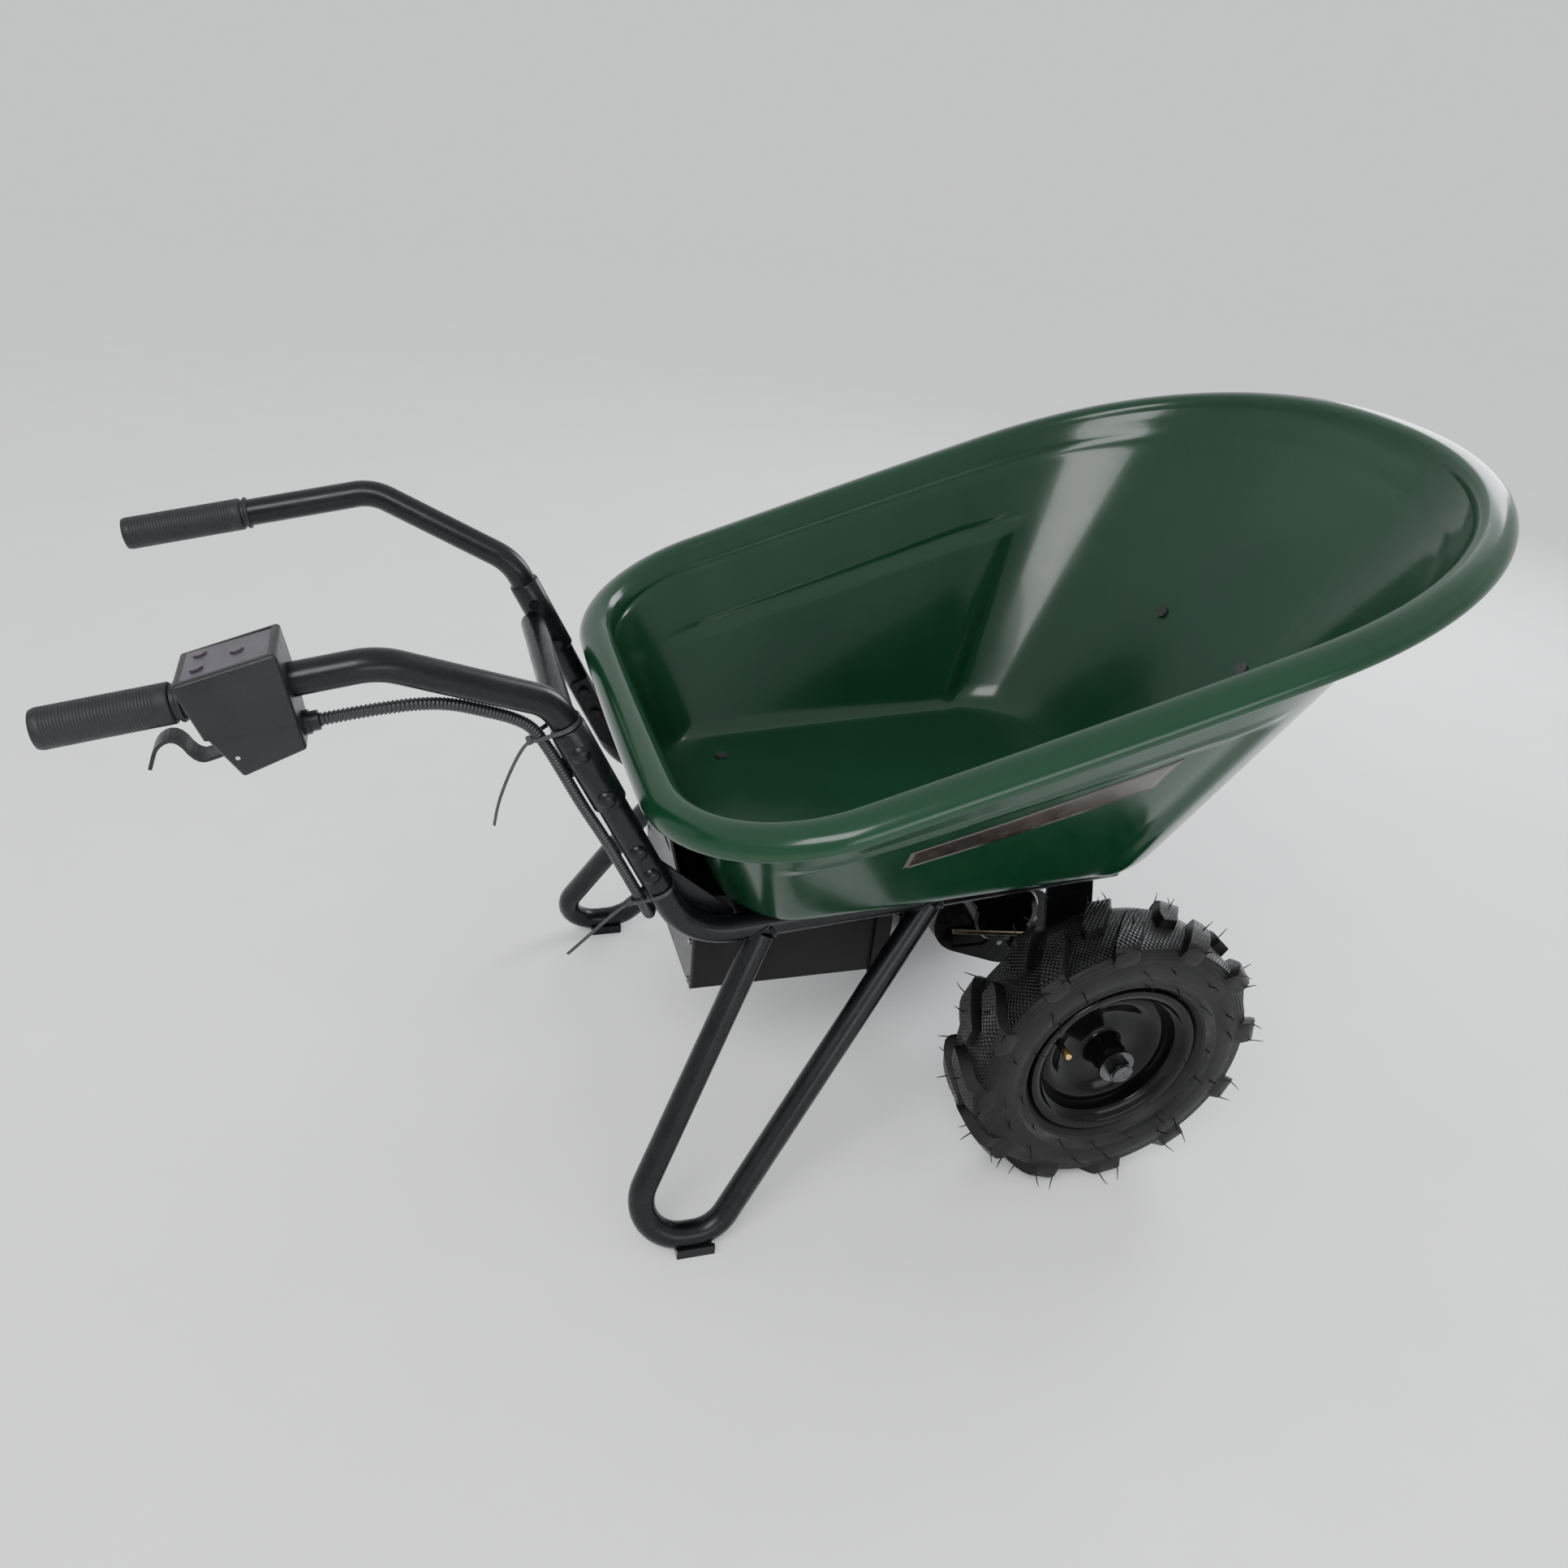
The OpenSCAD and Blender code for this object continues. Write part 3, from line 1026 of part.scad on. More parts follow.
throttle_pin();
conduit();
conduit_glands();
cable_ties();
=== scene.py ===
import math
import random
from math import cos, pi, radians, sin

import bmesh
import bpy
from mathutils import Matrix, Vector


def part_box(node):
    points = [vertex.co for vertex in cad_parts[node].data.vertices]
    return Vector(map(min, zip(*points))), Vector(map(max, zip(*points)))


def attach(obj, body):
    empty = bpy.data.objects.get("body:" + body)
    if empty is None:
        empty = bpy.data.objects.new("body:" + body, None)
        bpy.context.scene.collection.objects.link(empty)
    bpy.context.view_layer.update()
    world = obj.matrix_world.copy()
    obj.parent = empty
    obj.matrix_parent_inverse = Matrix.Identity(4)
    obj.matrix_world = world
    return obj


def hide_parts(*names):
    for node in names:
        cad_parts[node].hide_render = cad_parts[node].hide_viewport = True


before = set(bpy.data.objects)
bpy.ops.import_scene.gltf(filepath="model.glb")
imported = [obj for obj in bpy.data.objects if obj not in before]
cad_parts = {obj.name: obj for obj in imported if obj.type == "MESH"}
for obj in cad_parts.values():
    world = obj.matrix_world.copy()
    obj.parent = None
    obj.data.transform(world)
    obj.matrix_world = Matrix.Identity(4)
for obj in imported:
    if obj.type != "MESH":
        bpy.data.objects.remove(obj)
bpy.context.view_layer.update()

# ---- driving sizes, in metres ------------------------------------------------------------------

RIM_TILT = radians(18.5)
TUB_LEN, TUB_WIDTH = 1.085, 0.830
RIM_Z = 0.573               # height of the rim's rear edge
RIM_ROLL, LIP, WALL = 0.036, 0.026, 0.004
FLOOR_HALF = 0.240
FLOOR_X = (0.125, 0.672)
FLOOR_SLOPE = 0.057
PANEL_STEP = 0.009
TUBE_R = 0.016
RAIL_Y = 0.200
GRIP_Y = 0.252
FOOT_Y = 0.322
WHEEL_Y = 0.280
TYRE_R = 0.198
LIP_DROP = 0.017            # how far the rim's outermost line lies below its top

# The tub's rear edge is where the other places are counted from
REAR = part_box("tub")[0].x - LIP_DROP * sin(RIM_TILT)
AXLE = Vector((REAR + 0.596, 0, TYRE_R))


def at(x, y, z):
    """The point x ahead of the tub's rear edge."""
    return Vector((REAR + x, y, z))


def floor_z(x):
    return RIM_Z - 0.184 + FLOOR_SLOPE * (x - FLOOR_X[0])


# ---- materials ---------------------------------------------------------------------------------


class Nodes:
    """Short names for building a material's node tree."""

    def __init__(self, name, rough, metal=0.0, coat=0.0, coat_rough=0.1, spec=0.5):
        self.mat = bpy.data.materials.new(name)
        self.mat.use_nodes = True
        self.tree = self.mat.node_tree
        self.bsdf = self.tree.nodes["Principled BSDF"]
        self.coords = self.add("ShaderNodeTexCoord").outputs["Object"]
        b = self.bsdf.inputs
        b["Roughness"].default_value = rough
        b["Metallic"].default_value = metal
        b["Coat Weight"].default_value = coat
        b["Coat Roughness"].default_value = coat_rough
        b["Specular IOR Level"].default_value = spec

    def add(self, kind):
        return self.tree.nodes.new(kind)

    def link(self, a, b):
        self.tree.links.new(a, b)

    def noise(self, scale, detail=4.0, rough=0.55, stretch=(1, 1, 1)):
        mapping = self.add("ShaderNodeMapping")
        mapping.inputs["Scale"].default_value = stretch
        self.link(self.coords, mapping.inputs["Vector"])
        n = self.add("ShaderNodeTexNoise")
        n.inputs["Scale"].default_value = scale
        n.inputs["Detail"].default_value = detail
        n.inputs["Roughness"].default_value = rough
        self.link(mapping.outputs["Vector"], n.inputs["Vector"])
        return n.outputs["Fac"]

    def ramp(self, fac, stops):
        r = self.add("ShaderNodeValToRGB")
        while len(r.color_ramp.elements) < len(stops):
            r.color_ramp.elements.new(0.5)
        for e, (p, c) in zip(r.color_ramp.elements, stops):
            e.position = p
            e.color = (*c, 1)
        self.link(fac, r.inputs["Fac"])
        return r.outputs["Color"]

    def spread(self, fac, low, high):
        m = self.add("ShaderNodeMapRange")
        m.inputs["From Min"].default_value = 0.3
        m.inputs["From Max"].default_value = 0.7
        m.inputs["To Min"].default_value = low
        m.inputs["To Max"].default_value = high
        self.link(fac, m.inputs["Value"])
        return m.outputs["Result"]

    def bump(self, height, strength, distance, under=None):
        b = self.add("ShaderNodeBump")
        b.inputs["Strength"].default_value = strength
        b.inputs["Distance"].default_value = distance
        self.link(height, b.inputs["Height"])
        if under:
            self.link(under, b.inputs["Normal"])
        return b.outputs["Normal"]

    def colour(self, c):
        self.link(c, self.bsdf.inputs["Base Color"])

    def roughness(self, r):
        self.link(r, self.bsdf.inputs["Roughness"])

    def normal(self, n):
        self.link(n, self.bsdf.inputs["Normal"])


def coated(name, dark, light, rough, grain, grain_depth, blotch=7, **kw):
    """Paint, plastic or rubber: blotchy colour, uneven gloss, and a fine grain."""
    n = Nodes(name, sum(rough) / 2, **kw)
    n.colour(n.ramp(n.noise(blotch, 6), [(0.32, dark), (0.68, light)]))
    n.roughness(n.spread(n.noise(blotch * 4, 5, 0.65), *rough))
    fine = n.bump(n.noise(grain, 2), 0.5, grain_depth)
    n.normal(n.bump(n.noise(blotch * 5, 3), 0.12, 0.0006, fine))
    return n.mat


def machined(name, dark, light, rough, scale=60):
    """Bare or plated metal with faint streaks and tarnish."""
    n = Nodes(name, sum(rough) / 2, metal=1.0)
    n.colour(n.ramp(n.noise(scale, 5, 0.6), [(0.3, dark), (0.7, light)]))
    n.roughness(n.spread(n.noise(scale * 2, 5, 0.7, (1, 6, 1)), *rough))
    n.normal(n.bump(n.noise(scale * 12, 2, 0.5, (1, 8, 1)), 0.25, 0.00008))
    return n.mat


def moulded(name, turns, scale, depth, rough=(0.34, 0.52)):
    """Tyre rubber with grooves pressed in along the unrolled tread, one set for each turn."""
    n = Nodes(name, 0.45, spec=0.34)
    n.colour(n.ramp(n.noise(60, 5), [(0.3, (0.004, 0.004, 0.0043)), (0.7, (0.011, 0.0105, 0.011))]))
    uv = n.add("ShaderNodeUVMap")
    uv.uv_map = "tread"
    heights = []
    for turn in turns:
        m = n.add("ShaderNodeMapping")
        m.inputs["Rotation"].default_value = (0, 0, radians(turn))
        n.link(uv.outputs["UV"], m.inputs["Vector"])
        w = n.add("ShaderNodeTexWave")
        w.wave_profile = "TRI"
        w.inputs["Scale"].default_value = scale
        n.link(m.outputs["Vector"], w.inputs["Vector"])
        heights.append(w.outputs["Fac"])
    height = heights[0]
    for other in heights[1:]:
        low = n.add("ShaderNodeMath")
        low.operation = "MINIMUM"
        n.link(height, low.inputs[0])
        n.link(other, low.inputs[1])
        height = low.outputs[0]
    n.normal(n.bump(height, 1.0, depth))
    n.roughness(n.spread(n.noise(90, 4), *rough))
    return n.mat


M_GREEN = coated("tub_green", (0.0028, 0.026, 0.0102), (0.0045, 0.035, 0.0142), (0.15, 0.23), 900, 0.00005,
                 blotch=3, coat=0.10, coat_rough=0.05, spec=0.26)
M_STEEL = coated("black_tube_paint", (0.0030, 0.0032, 0.0042), (0.006, 0.0064, 0.0082), (0.22, 0.34), 1400,
                 0.00008,
                 blotch=14, spec=0.24)
M_GLOSS = coated("gloss_black_paint", (0.0022, 0.0022, 0.0026), (0.0045, 0.004, 0.0045), (0.07, 0.15), 500,
                 0.00004, blotch=12, spec=0.16)
M_CAST = coated("cast_black_paint", (0.0030, 0.0030, 0.0034), (0.006, 0.0056, 0.006), (0.18, 0.34), 700,
                0.00008,
                blotch=20, spec=0.25)
M_PLATE = coated("grey_plate_paint", (0.016, 0.015, 0.016), (0.030, 0.028, 0.030), (0.38, 0.52), 1600,
                 0.00012,
                 blotch=16)
M_BOX = coated("box_paint", (0.0045, 0.004, 0.004), (0.009, 0.008, 0.008), (0.40, 0.58), 1500, 0.00012,
               blotch=12,
               spec=0.22)
M_GRIP = coated("grip_rubber", (0.005, 0.0055, 0.007), (0.010, 0.011, 0.0135), (0.44, 0.60), 1700, 0.00020,
                blotch=25, spec=0.35)
M_TYRE = coated("tyre_rubber", (0.0035, 0.0033, 0.0036), (0.0085, 0.008, 0.0084), (0.38, 0.56), 1100, 0.00020,
                blotch=22, spec=0.22)
M_KNURL = moulded("tread_knurl", (45, -45), 70, 0.0022, (0.28, 0.44))
M_RIBBED = moulded("sidewall_ribs", (0,), 130, 0.0009)
M_CASE = coated("grained_plastic", (0.0060, 0.0064, 0.0078), (0.011, 0.0118, 0.0140), (0.34, 0.46), 1500,
                0.00020,
                blotch=18, spec=0.30)
M_FLEX = coated("conduit_plastic", (0.010, 0.010, 0.012), (0.020, 0.020, 0.023), (0.34, 0.48), 900, 0.00008)
M_PANEL = coated("keypad_film", (0.030, 0.026, 0.036), (0.045, 0.039, 0.052), (0.30, 0.40), 1300, 0.00006,
                 blotch=30)
M_KEY = coated("key_film", (0.034, 0.024, 0.034), (0.055, 0.038, 0.052), (0.26, 0.36), 1300, 0.00006,
               blotch=60)
M_DECAL = coated("printed_strip", (0.010, 0.008, 0.007), (0.030, 0.020, 0.014), (0.16, 0.30), 600, 0.00003,
                 blotch=18, coat=0.3)
M_ZINC = machined("dark_zinc", (0.16, 0.16, 0.17), (0.32, 0.32, 0.33), (0.25, 0.45))
M_BRIGHT = machined("bright_steel", (0.42, 0.42, 0.43), (0.62, 0.62, 0.62), (0.18, 0.34))
M_BRASS = machined("brass", (0.45, 0.28, 0.08), (0.70, 0.48, 0.18), (0.22, 0.40))
M_YELLOW = machined("yellow_zinc", (0.07, 0.060, 0.04), (0.18, 0.155, 0.10), (0.30, 0.48))
M_OILED = machined("oiled_steel", (0.05, 0.05, 0.052), (0.12, 0.12, 0.125), (0.25, 0.42))
M_BLUED = coated("black_bolt", (0.012, 0.012, 0.013), (0.024, 0.024, 0.026), (0.22, 0.38), 900, 0.00006,
                 blotch=50)
M_BOARD = coated("board_green", (0.01, 0.09, 0.03), (0.02, 0.13, 0.05), (0.35, 0.5), 800, 0.00004)
M_COPPER = machined("copper", (0.42, 0.18, 0.08), (0.62, 0.30, 0.15), (0.25, 0.45))


# ---- mesh helpers ------------------------------------------------------------------------------


def piece(name, verts, faces, mat, body="frame", stands_for=(), sharp=35, mats=(), face_mats=None):
    """A piece that rides on a body; face_mats picks each face's material out of mat and mats."""
    mesh = bpy.data.meshes.new(name)
    mesh.from_pydata([tuple(v) for v in verts], [], faces)
    for m in (mat, *mats):
        mesh.materials.append(m)
    if face_mats:
        for p, k in zip(mesh.polygons, face_mats):
            p.material_index = k
    bm = bmesh.new()
    bm.from_mesh(mesh)
    bmesh.ops.recalc_face_normals(bm, faces=bm.faces)
    bm.to_mesh(mesh)
    bm.free()
    mesh.shade_smooth()
    mesh.set_sharp_from_angle(angle=radians(sharp))
    obj = bpy.data.objects.new(name, mesh)
    bpy.context.scene.collection.objects.link(obj)
    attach(obj, body)
    if stands_for:
        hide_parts(*stands_for)
    return obj


def grid_faces(rows, n, closed=True):
    """Quads over rows of n points each; closed joins each row into a ring."""
    faces = []
    for j in range(rows - 1):
        for i in range(n if closed else n - 1):
            k = (i + 1) % n
            faces.append((j * n + i, j * n + k, (j + 1) * n + k, (j + 1) * n + i))
    return faces


def frames_along(path):
    """A pair of cross directions at each point of a path, carried along without twist."""
    tangents = [(path[min(i + 1, len(path) - 1)] - path[max(i - 1,
                                                            0)]).normalized() for i in range(len(path))]
    u = tangents[0].orthogonal().normalized()
    out = []
    for t in tangents:
        u = (u - t * u.dot(t)).normalized()
        out.append((u, t.cross(u)))
    return out


def tube_mesh(path, radii, n=28):
    """A capped tube of n sides along a path, with a radius for each point."""
    verts, faces = [], []
    for p, r, (u, v) in zip(path, radii, frames_along(path)):
        verts += [p + (u * cos(2 * pi * k / n) + v * sin(2 * pi * k / n)) * r for k in range(n)]
    faces = grid_faces(len(path), n)
    faces.append(tuple(reversed(range(n))))
    faces.append(tuple(range((len(path) - 1) * n, len(path) * n)))
    return verts, faces


def join(parts):
    """One list of points and faces out of several."""
    verts, faces = [], []
    for v, f in parts:
        base = len(verts)
        verts += v
        faces += [tuple(base + i for i in q) for q in f]
    return verts, faces


def rounded(points, radius, steps=14):
    """The line through points with an arc of that radius at each inner point."""
    out = [points[0]]
    for a, b, c in zip(points, points[1:], points[2:]):
        u, v = (b - a).normalized(), (c - b).normalized()
        turn = u.angle(v)
        cut = radius * math.tan(turn / 2)
        axis = u.cross(v).normalized()
        start = b - u * cut
        centre = start + axis.cross(u) * radius
        for k in range(steps + 1):
            out.append(centre + Matrix.Rotation(turn * k / steps, 3, axis) @ (start - centre))
    return out + [points[-1]]


def lathe(profile, centre, axis, n=96, closed=True):
    """Turns (radius, height) points round an axis; closed joins the profile's ends."""
    u = axis.orthogonal().normalized()
    v = axis.cross(u)
    verts = []
    for k in range(n):
        d = u * cos(2 * pi * k / n) + v * sin(2 * pi * k / n)
        verts += [centre + d * r + axis * h for r, h in profile]
    m = len(profile)
    faces = []
    for k in range(n):
        q = (k + 1) % n
        for i in range(m if closed else m - 1):
            j = (i + 1) % m
            faces.append((k * m + i, k * m + j, q * m + j, q * m + i))
    return verts, faces


def soften(points, rounds=2):
    """Corner cutting: a smooth line near the points, from the first to the last."""
    for _ in range(rounds):
        pairs = zip(points, points[1:])
        cut = [q for a, b in pairs for q in ([0.75 * x + 0.25 * y for x, y in zip(a, b)],
                                             [0.25 * x + 0.75 * y for x, y in zip(a, b)])]
        points = [points[0], *cut, points[-1]]
    return [tuple(p) for p in points]


def smooth_path(points, rounds=3):
    return [Vector(p) for p in soften([tuple(p) for p in points], rounds)]


SIDES = (("right_", -1), ("left_", 1))


def mirrored(make, name):
    """The same piece on both sides; make gets the side, -1 right or 1 left."""
    return [make(prefix + name, side) for prefix, side in SIDES]


# ---- tub ---------------------------------------------------------------------------------------

SEG = (8, 20, 44, 44)       # points along the rear, corner, side and nose of half the rim
WIDE_AT = TUB_LEN * 0.608
REAR_HALF = TUB_WIDTH / 2 - 0.0084


def half_outline(x0, xw, x1, hw0, hw1, corner, power, bow=0.002):
    """Right half of an outline: rear x0, widest xw, nose x1, half widths hw0 at the rear and hw1 at xw."""
    rear, turn, side, nose = SEG
    pts = [(x0 + bow * (i / rear) ** 2, (hw0 - corner) * i / rear) for i in range(rear)]
    for i in range(turn):
        a = pi / 2 * i / turn
        pts.append((x0 + bow + (corner - bow) * (1 - cos(a)), hw0 - corner + corner * sin(a)))
    for i in range(side):
        k = i / side
        pts.append((x0 + corner + (xw - x0 - corner) * k, hw0 + (hw1 - hw0) * sin(pi / 2 * k)))
    for i in range(nose + 1):
        a = pi / 2 * i / nose
        pts.append((xw + (x1 - xw) * sin(a) ** (2 / power), hw1 * max(cos(a), 0) ** (2 / power)))
    return pts


def loop_of(half):
    """The closed outline, along one side to the nose and back along the other."""
    return [(x, -y) for x, y in half] + [(x, y) for x, y in reversed(half[1:-1])]


RIM_LOOP = loop_of(half_outline(0, WIDE_AT, TUB_LEN, REAR_HALF, TUB_WIDTH / 2, 0.207, 2.2))
FLOOR_LOOP = loop_of(half_outline(FLOOR_X[0], FLOOR_X[1] - 0.170, FLOOR_X[1], FLOOR_HALF - 0.003, FLOOR_HALF,
                                  0.105, 3.6))
LOOP_N = len(RIM_LOOP)
HALF_N = sum(SEG)


def inset(loop, i, o):
    """Point i of an outline, moved inward by o."""
    (x0, y0), (x1, y1) = loop[i - 1], loop[(i + 1) % LOOP_N]
    t = Vector((x1 - x0, y1 - y0)).normalized()
    return loop[i][0] - t.y * o, loop[i][1] + t.x * o


def rim_point(i, o, d):
    """Point i of the tilted rim, moved inward by o and up by d."""
    x, y = inset(RIM_LOOP, i, o)
    return at(x * cos(RIM_TILT) - d * sin(RIM_TILT), y, RIM_Z + x * sin(RIM_TILT) + d * cos(RIM_TILT))


def floor_point(i, o, d):
    """Point i of the sloped floor's outline, moved inward by o and up by d."""
    x, y = inset(FLOOR_LOOP, i, o)
    return at(x, y, floor_z(x) + d)


def ease(k):
    """A smooth rise from 0 to 1."""
    k = max(0.0, min(1.0, k))
    return k * k * (3 - 2 * k)


PANEL_START = SEG[0] + SEG[1] * 0.62
PANEL_END = SEG[0] + SEG[1] + SEG[2] + SEG[3] * 0.17


def along_side(i):
    """Share of the way along the side panel, from the rear corner to the nose."""
    j = i if i <= HALF_N else LOOP_N - i
    return (j - PANEL_START) / (PANEL_END - PANEL_START)


def panel_depth(i):
    """How much of the side panel's step shows at point i of the outline."""
    k = along_side(i)
    return ease(min(k * 9, (1 - k) * 16))


def ridge_at(i):
    """Height of the ridge over the panel, as a share of the wall from its top."""
    return 0.42 - 0.11 * max(0.0, min(1.0, along_side(i)))


def ring_height(t, i):
    """Height of a ring of the wall at point i; rings near 0.455 follow the ridge."""
    r = ridge_at(i)
    knots = ((0.0, 0.0), (0.12, 0.12), (0.43, r - 0.025), (0.56, r + 0.105), (0.92, 0.92))
    for (t0, h0), (t1, h1) in zip(knots, knots[1:]):
        if t <= t1:
            return h0 + (h1 - h0) * (t - t0) / (t1 - t0)
    return t


def stepped(p, i, on):
    """A wall point moved inward by the side panel's step."""
    side = -1 if p.y < 0 else 1
    return Vector((p.x, p.y - side * PANEL_STEP * on * panel_depth(i), p.z))


# Shares of the wall's height, and metres outward
STEP_H = 0.05
RIB_AT, RIB_WIDE, RIB_OUT = 0.085, 0.012, 0.0016            # thin rib below the rim
RIDGE_ABOVE, RIDGE_WIDE, RIDGE_OUT = 0.006, 0.010, 0.0020   # ridge over the side panel
WALL_TOP = (RIM_ROLL + 0.008, -0.014)                       # where the wall leaves the rim, inward and up


def wall_point(i, h, off):
    """Point i of the wall at share h of its height; off is 0 inside and WALL outside."""
    a = rim_point(i, WALL_TOP[0] - off, WALL_TOP[1])
    b = floor_point(i, -off, WALL - off)
    rib = RIB_OUT * math.exp(-((h - RIB_AT) / RIB_WIDE) ** 2)
    rib += RIDGE_OUT * panel_depth(i) * math.exp(-((h - ridge_at(i) + RIDGE_ABOVE) / RIDGE_WIDE) ** 2)
    p = stepped(a.lerp(b, h), i, ease((h - ridge_at(i)) / STEP_H))
    out = (rim_point(i, 0, 0) - rim_point(i, 0.01, 0)).normalized()
    return p + out * rib


FILLET_AT = 0.92            # share of the wall where its rounding into the floor begins
FLOOR_IN = 0.020            # how far in on the floor it ends


def fillet_point(i, k, off):
    """Point i of the rounding between wall and floor, k from 0 to 1 along it."""
    a = wall_point(i, FILLET_AT, off)
    b = stepped(floor_point(i, -off, WALL - off), i, 1)
    c = floor_point(i, FLOOR_IN, WALL - off)
    return a * (1 - k) ** 2 + b * 2 * k * (1 - k) + c * k * k


def make_tub():
    """One closed shell: inside from floor to rim, round the rolled edge, and back down outside."""
    heights = [0, 0.03, 0.055, 0.07, 0.085, 0.10, 0.115, 0.14, 0.2, 0.27, 0.34, 0.40, 0.43, 0.445, 0.455,
               0.465,
               0.475, 0.485, 0.495, 0.505, 0.515, 0.53, 0.56, 0.62, 0.69, 0.76, 0.82, 0.87]
    fillet = [0, 0.12, 0.25, 0.38, 0.5, 0.62, 0.75, 0.88, 1]
    roll = soften([WALL_TOP, (RIM_ROLL + 0.003, -0.004), (RIM_ROLL - 0.006, 0),
                   (RIM_ROLL * 0.45, -0.002), (RIM_ROLL * 0.17, -0.008), (0.0002, -LIP_DROP), (0.0002, -LIP),
                   (WALL, -LIP), (WALL, -0.019), (RIM_ROLL * 0.26, -0.0115), (RIM_ROLL * 0.5, -0.0065),
                   (RIM_ROLL - 0.004, -0.0058), (RIM_ROLL + 0.004, -0.014)])[1:-1]
    rings = [[fillet_point(i, k, 0) for i in range(LOOP_N)] for k in reversed(fillet)]
    rings += [[wall_point(i, ring_height(t, i), 0) for i in range(LOOP_N)] for t in reversed(heights)]
    rings += [[rim_point(i, o, d) for i in range(LOOP_N)] for o, d in roll]
    rings += [[wall_point(i, ring_height(t, i), WALL) for i in range(LOOP_N)] for t in heights]
    rings += [[fillet_point(i, k, WALL) for i in range(LOOP_N)] for k in fillet]
    verts = [p for r in rings for p in r]
    faces = grid_faces(len(rings), LOOP_N)
    faces.append(tuple(range(LOOP_N)))
    faces.append(tuple(reversed(range((len(rings) - 1) * LOOP_N, len(rings) * LOOP_N))))
    return piece("tub_shell", verts, faces, M_GREEN, stands_for=["tub"], sharp=50)


make_tub()


# The printed strip, in shares of the wall's height
DECAL_H, DECAL_BELOW, DECAL_RISE = 0.122, 0.080, 0.06
DECAL_ROWS = 8
FILM, FILM_LIFT = 0.0003, 0.0005    # thickness, and height over the wall


def make_decal(name, side):
    """Blank printed strip along the side panel, below the foot of the step and rising to the nose."""
    rows = []
    idx = range(SEG[0] + SEG[1] + 9, SEG[0] + SEG[1] + SEG[2] + 1)
    for k in range(DECAL_ROWS + 1):
        row = []
        for i in idx:
            top = ridge_at(i) + STEP_H + DECAL_BELOW - DECAL_RISE * (i - idx[0]) / len(idx)
            row.append(wall_point(i, top + DECAL_H * k / DECAL_ROWS, WALL + FILM_LIFT))
        rows.append([Vector((p.x, -side * p.y, p.z)) for p in row])
    n = len(rows[0])
    verts = [p for r in rows for p in r]
    obj = piece(name, verts, grid_faces(len(rows), n, closed=False), M_DECAL)
    thick = obj.modifiers.new("film", "SOLIDIFY")
    thick.thickness = FILM
    return obj


decals = mirrored(make_decal, "printed_strip")
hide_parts("side_decal")

# ---- tubes -------------------------------------------------------------------------------------

GRIP_RUN = 0.287            # from the grip's end to the handle's first bend
GRIP_RISE = 50 / 287
BEND_1 = (-0.243, RIM_Z + 0.177)
BEND_2 = (-0.080, RIM_Z + 0.102)
GRIP_END = (-0.530, BEND_1[1] - GRIP_RUN * GRIP_RISE)
DOWN = Vector((0.447, 0, -0.894)).normalized()
OUTWARD = Vector((-DOWN.z, 0, DOWN.x))
SEAT = 0.0003               # gap between the rails' tops and the tub's floor


def rail_z(x):
    """Height of a rail's middle under the tub."""
    return floor_z(x) - TUBE_R - SEAT


def rail_at(side, t):
    """A point t along the slanted rail from the handle's second bend."""
    return at(BEND_2[0], side * RAIL_Y, BEND_2[1]) + DOWN * t


SLEEVE = (0.030, 0.134)     # its ends, and below where handle and rail stop inside it, along the slanted rail
HANDLE_STOP, RAIL_START = 0.070, 0.074
HANDLE_BEND, RAIL_BEND, LEG_BEND = 0.060, 0.080, 0.050
LEGS = ((0.166, -0.022), (0.378, 0.096))    # each limb's place at the rail and at the foot
LEG_DROP = 0.013            # from the rail's middle to the limb's end
SHOE = 0.003
CORNER_T = (BEND_2[1] - rail_z(BEND_2[0])) / (-DOWN.z + FLOOR_SLOPE * DOWN.x)
CORNER_X = BEND_2[0] + DOWN.x * CORNER_T
RAIL_TAPER = 0.0307
RAIL_END = 0.622


def rail_y(x):
    """Distance of a rail from the middle, under the tub, where the rails draw together."""
    return RAIL_Y - RAIL_TAPER * (x - CORNER_X)


def bent_tube(name, points, bend):
    """A frame tube bent at the inner points; it stands for the node of its own name."""
    path = rounded(points, bend)
    v, f = tube_mesh(path, [TUBE_R] * len(path))
    return piece(name, v, f, M_STEEL, stands_for=[name.replace("_tube", "")])


def make_handle(name, side):
    points = [at(GRIP_END[0] + 0.008, side * GRIP_Y, GRIP_END[1] + 0.008 * GRIP_RISE),
              at(BEND_1[0], side * GRIP_Y, BEND_1[1]), at(BEND_2[0], side * RAIL_Y, BEND_2[1]),
              rail_at(side, HANDLE_STOP)]
    return bent_tube(name, points, HANDLE_BEND)


def make_rail(name, side):
    front = at(RAIL_END, side * rail_y(RAIL_END), rail_z(RAIL_END))
    return bent_tube(name, [rail_at(side, RAIL_START), rail_at(side, CORNER_T), front], RAIL_BEND)


def make_leg(name, side):
    (rear_top, rear_foot), (front_top, front_foot) = LEGS
    low = TUBE_R + SHOE
    p = [at(rear_top, side * rail_y(rear_top), rail_z(rear_top)), at(rear_foot, side * FOOT_Y, low),
         at(front_foot, side * FOOT_Y, low), at(front_top, side * rail_y(front_top), rail_z(front_top))]
    p[0] += (p[1] - p[0]).normalized() * LEG_DROP
    p[3] += (p[2] - p[3]).normalized() * LEG_DROP
    return bent_tube(name, p, LEG_BEND)


mirrored(make_handle, "handle_tube")
mirrored(make_rail, "rail_tube")
mirrored(make_leg, "leg_tube")


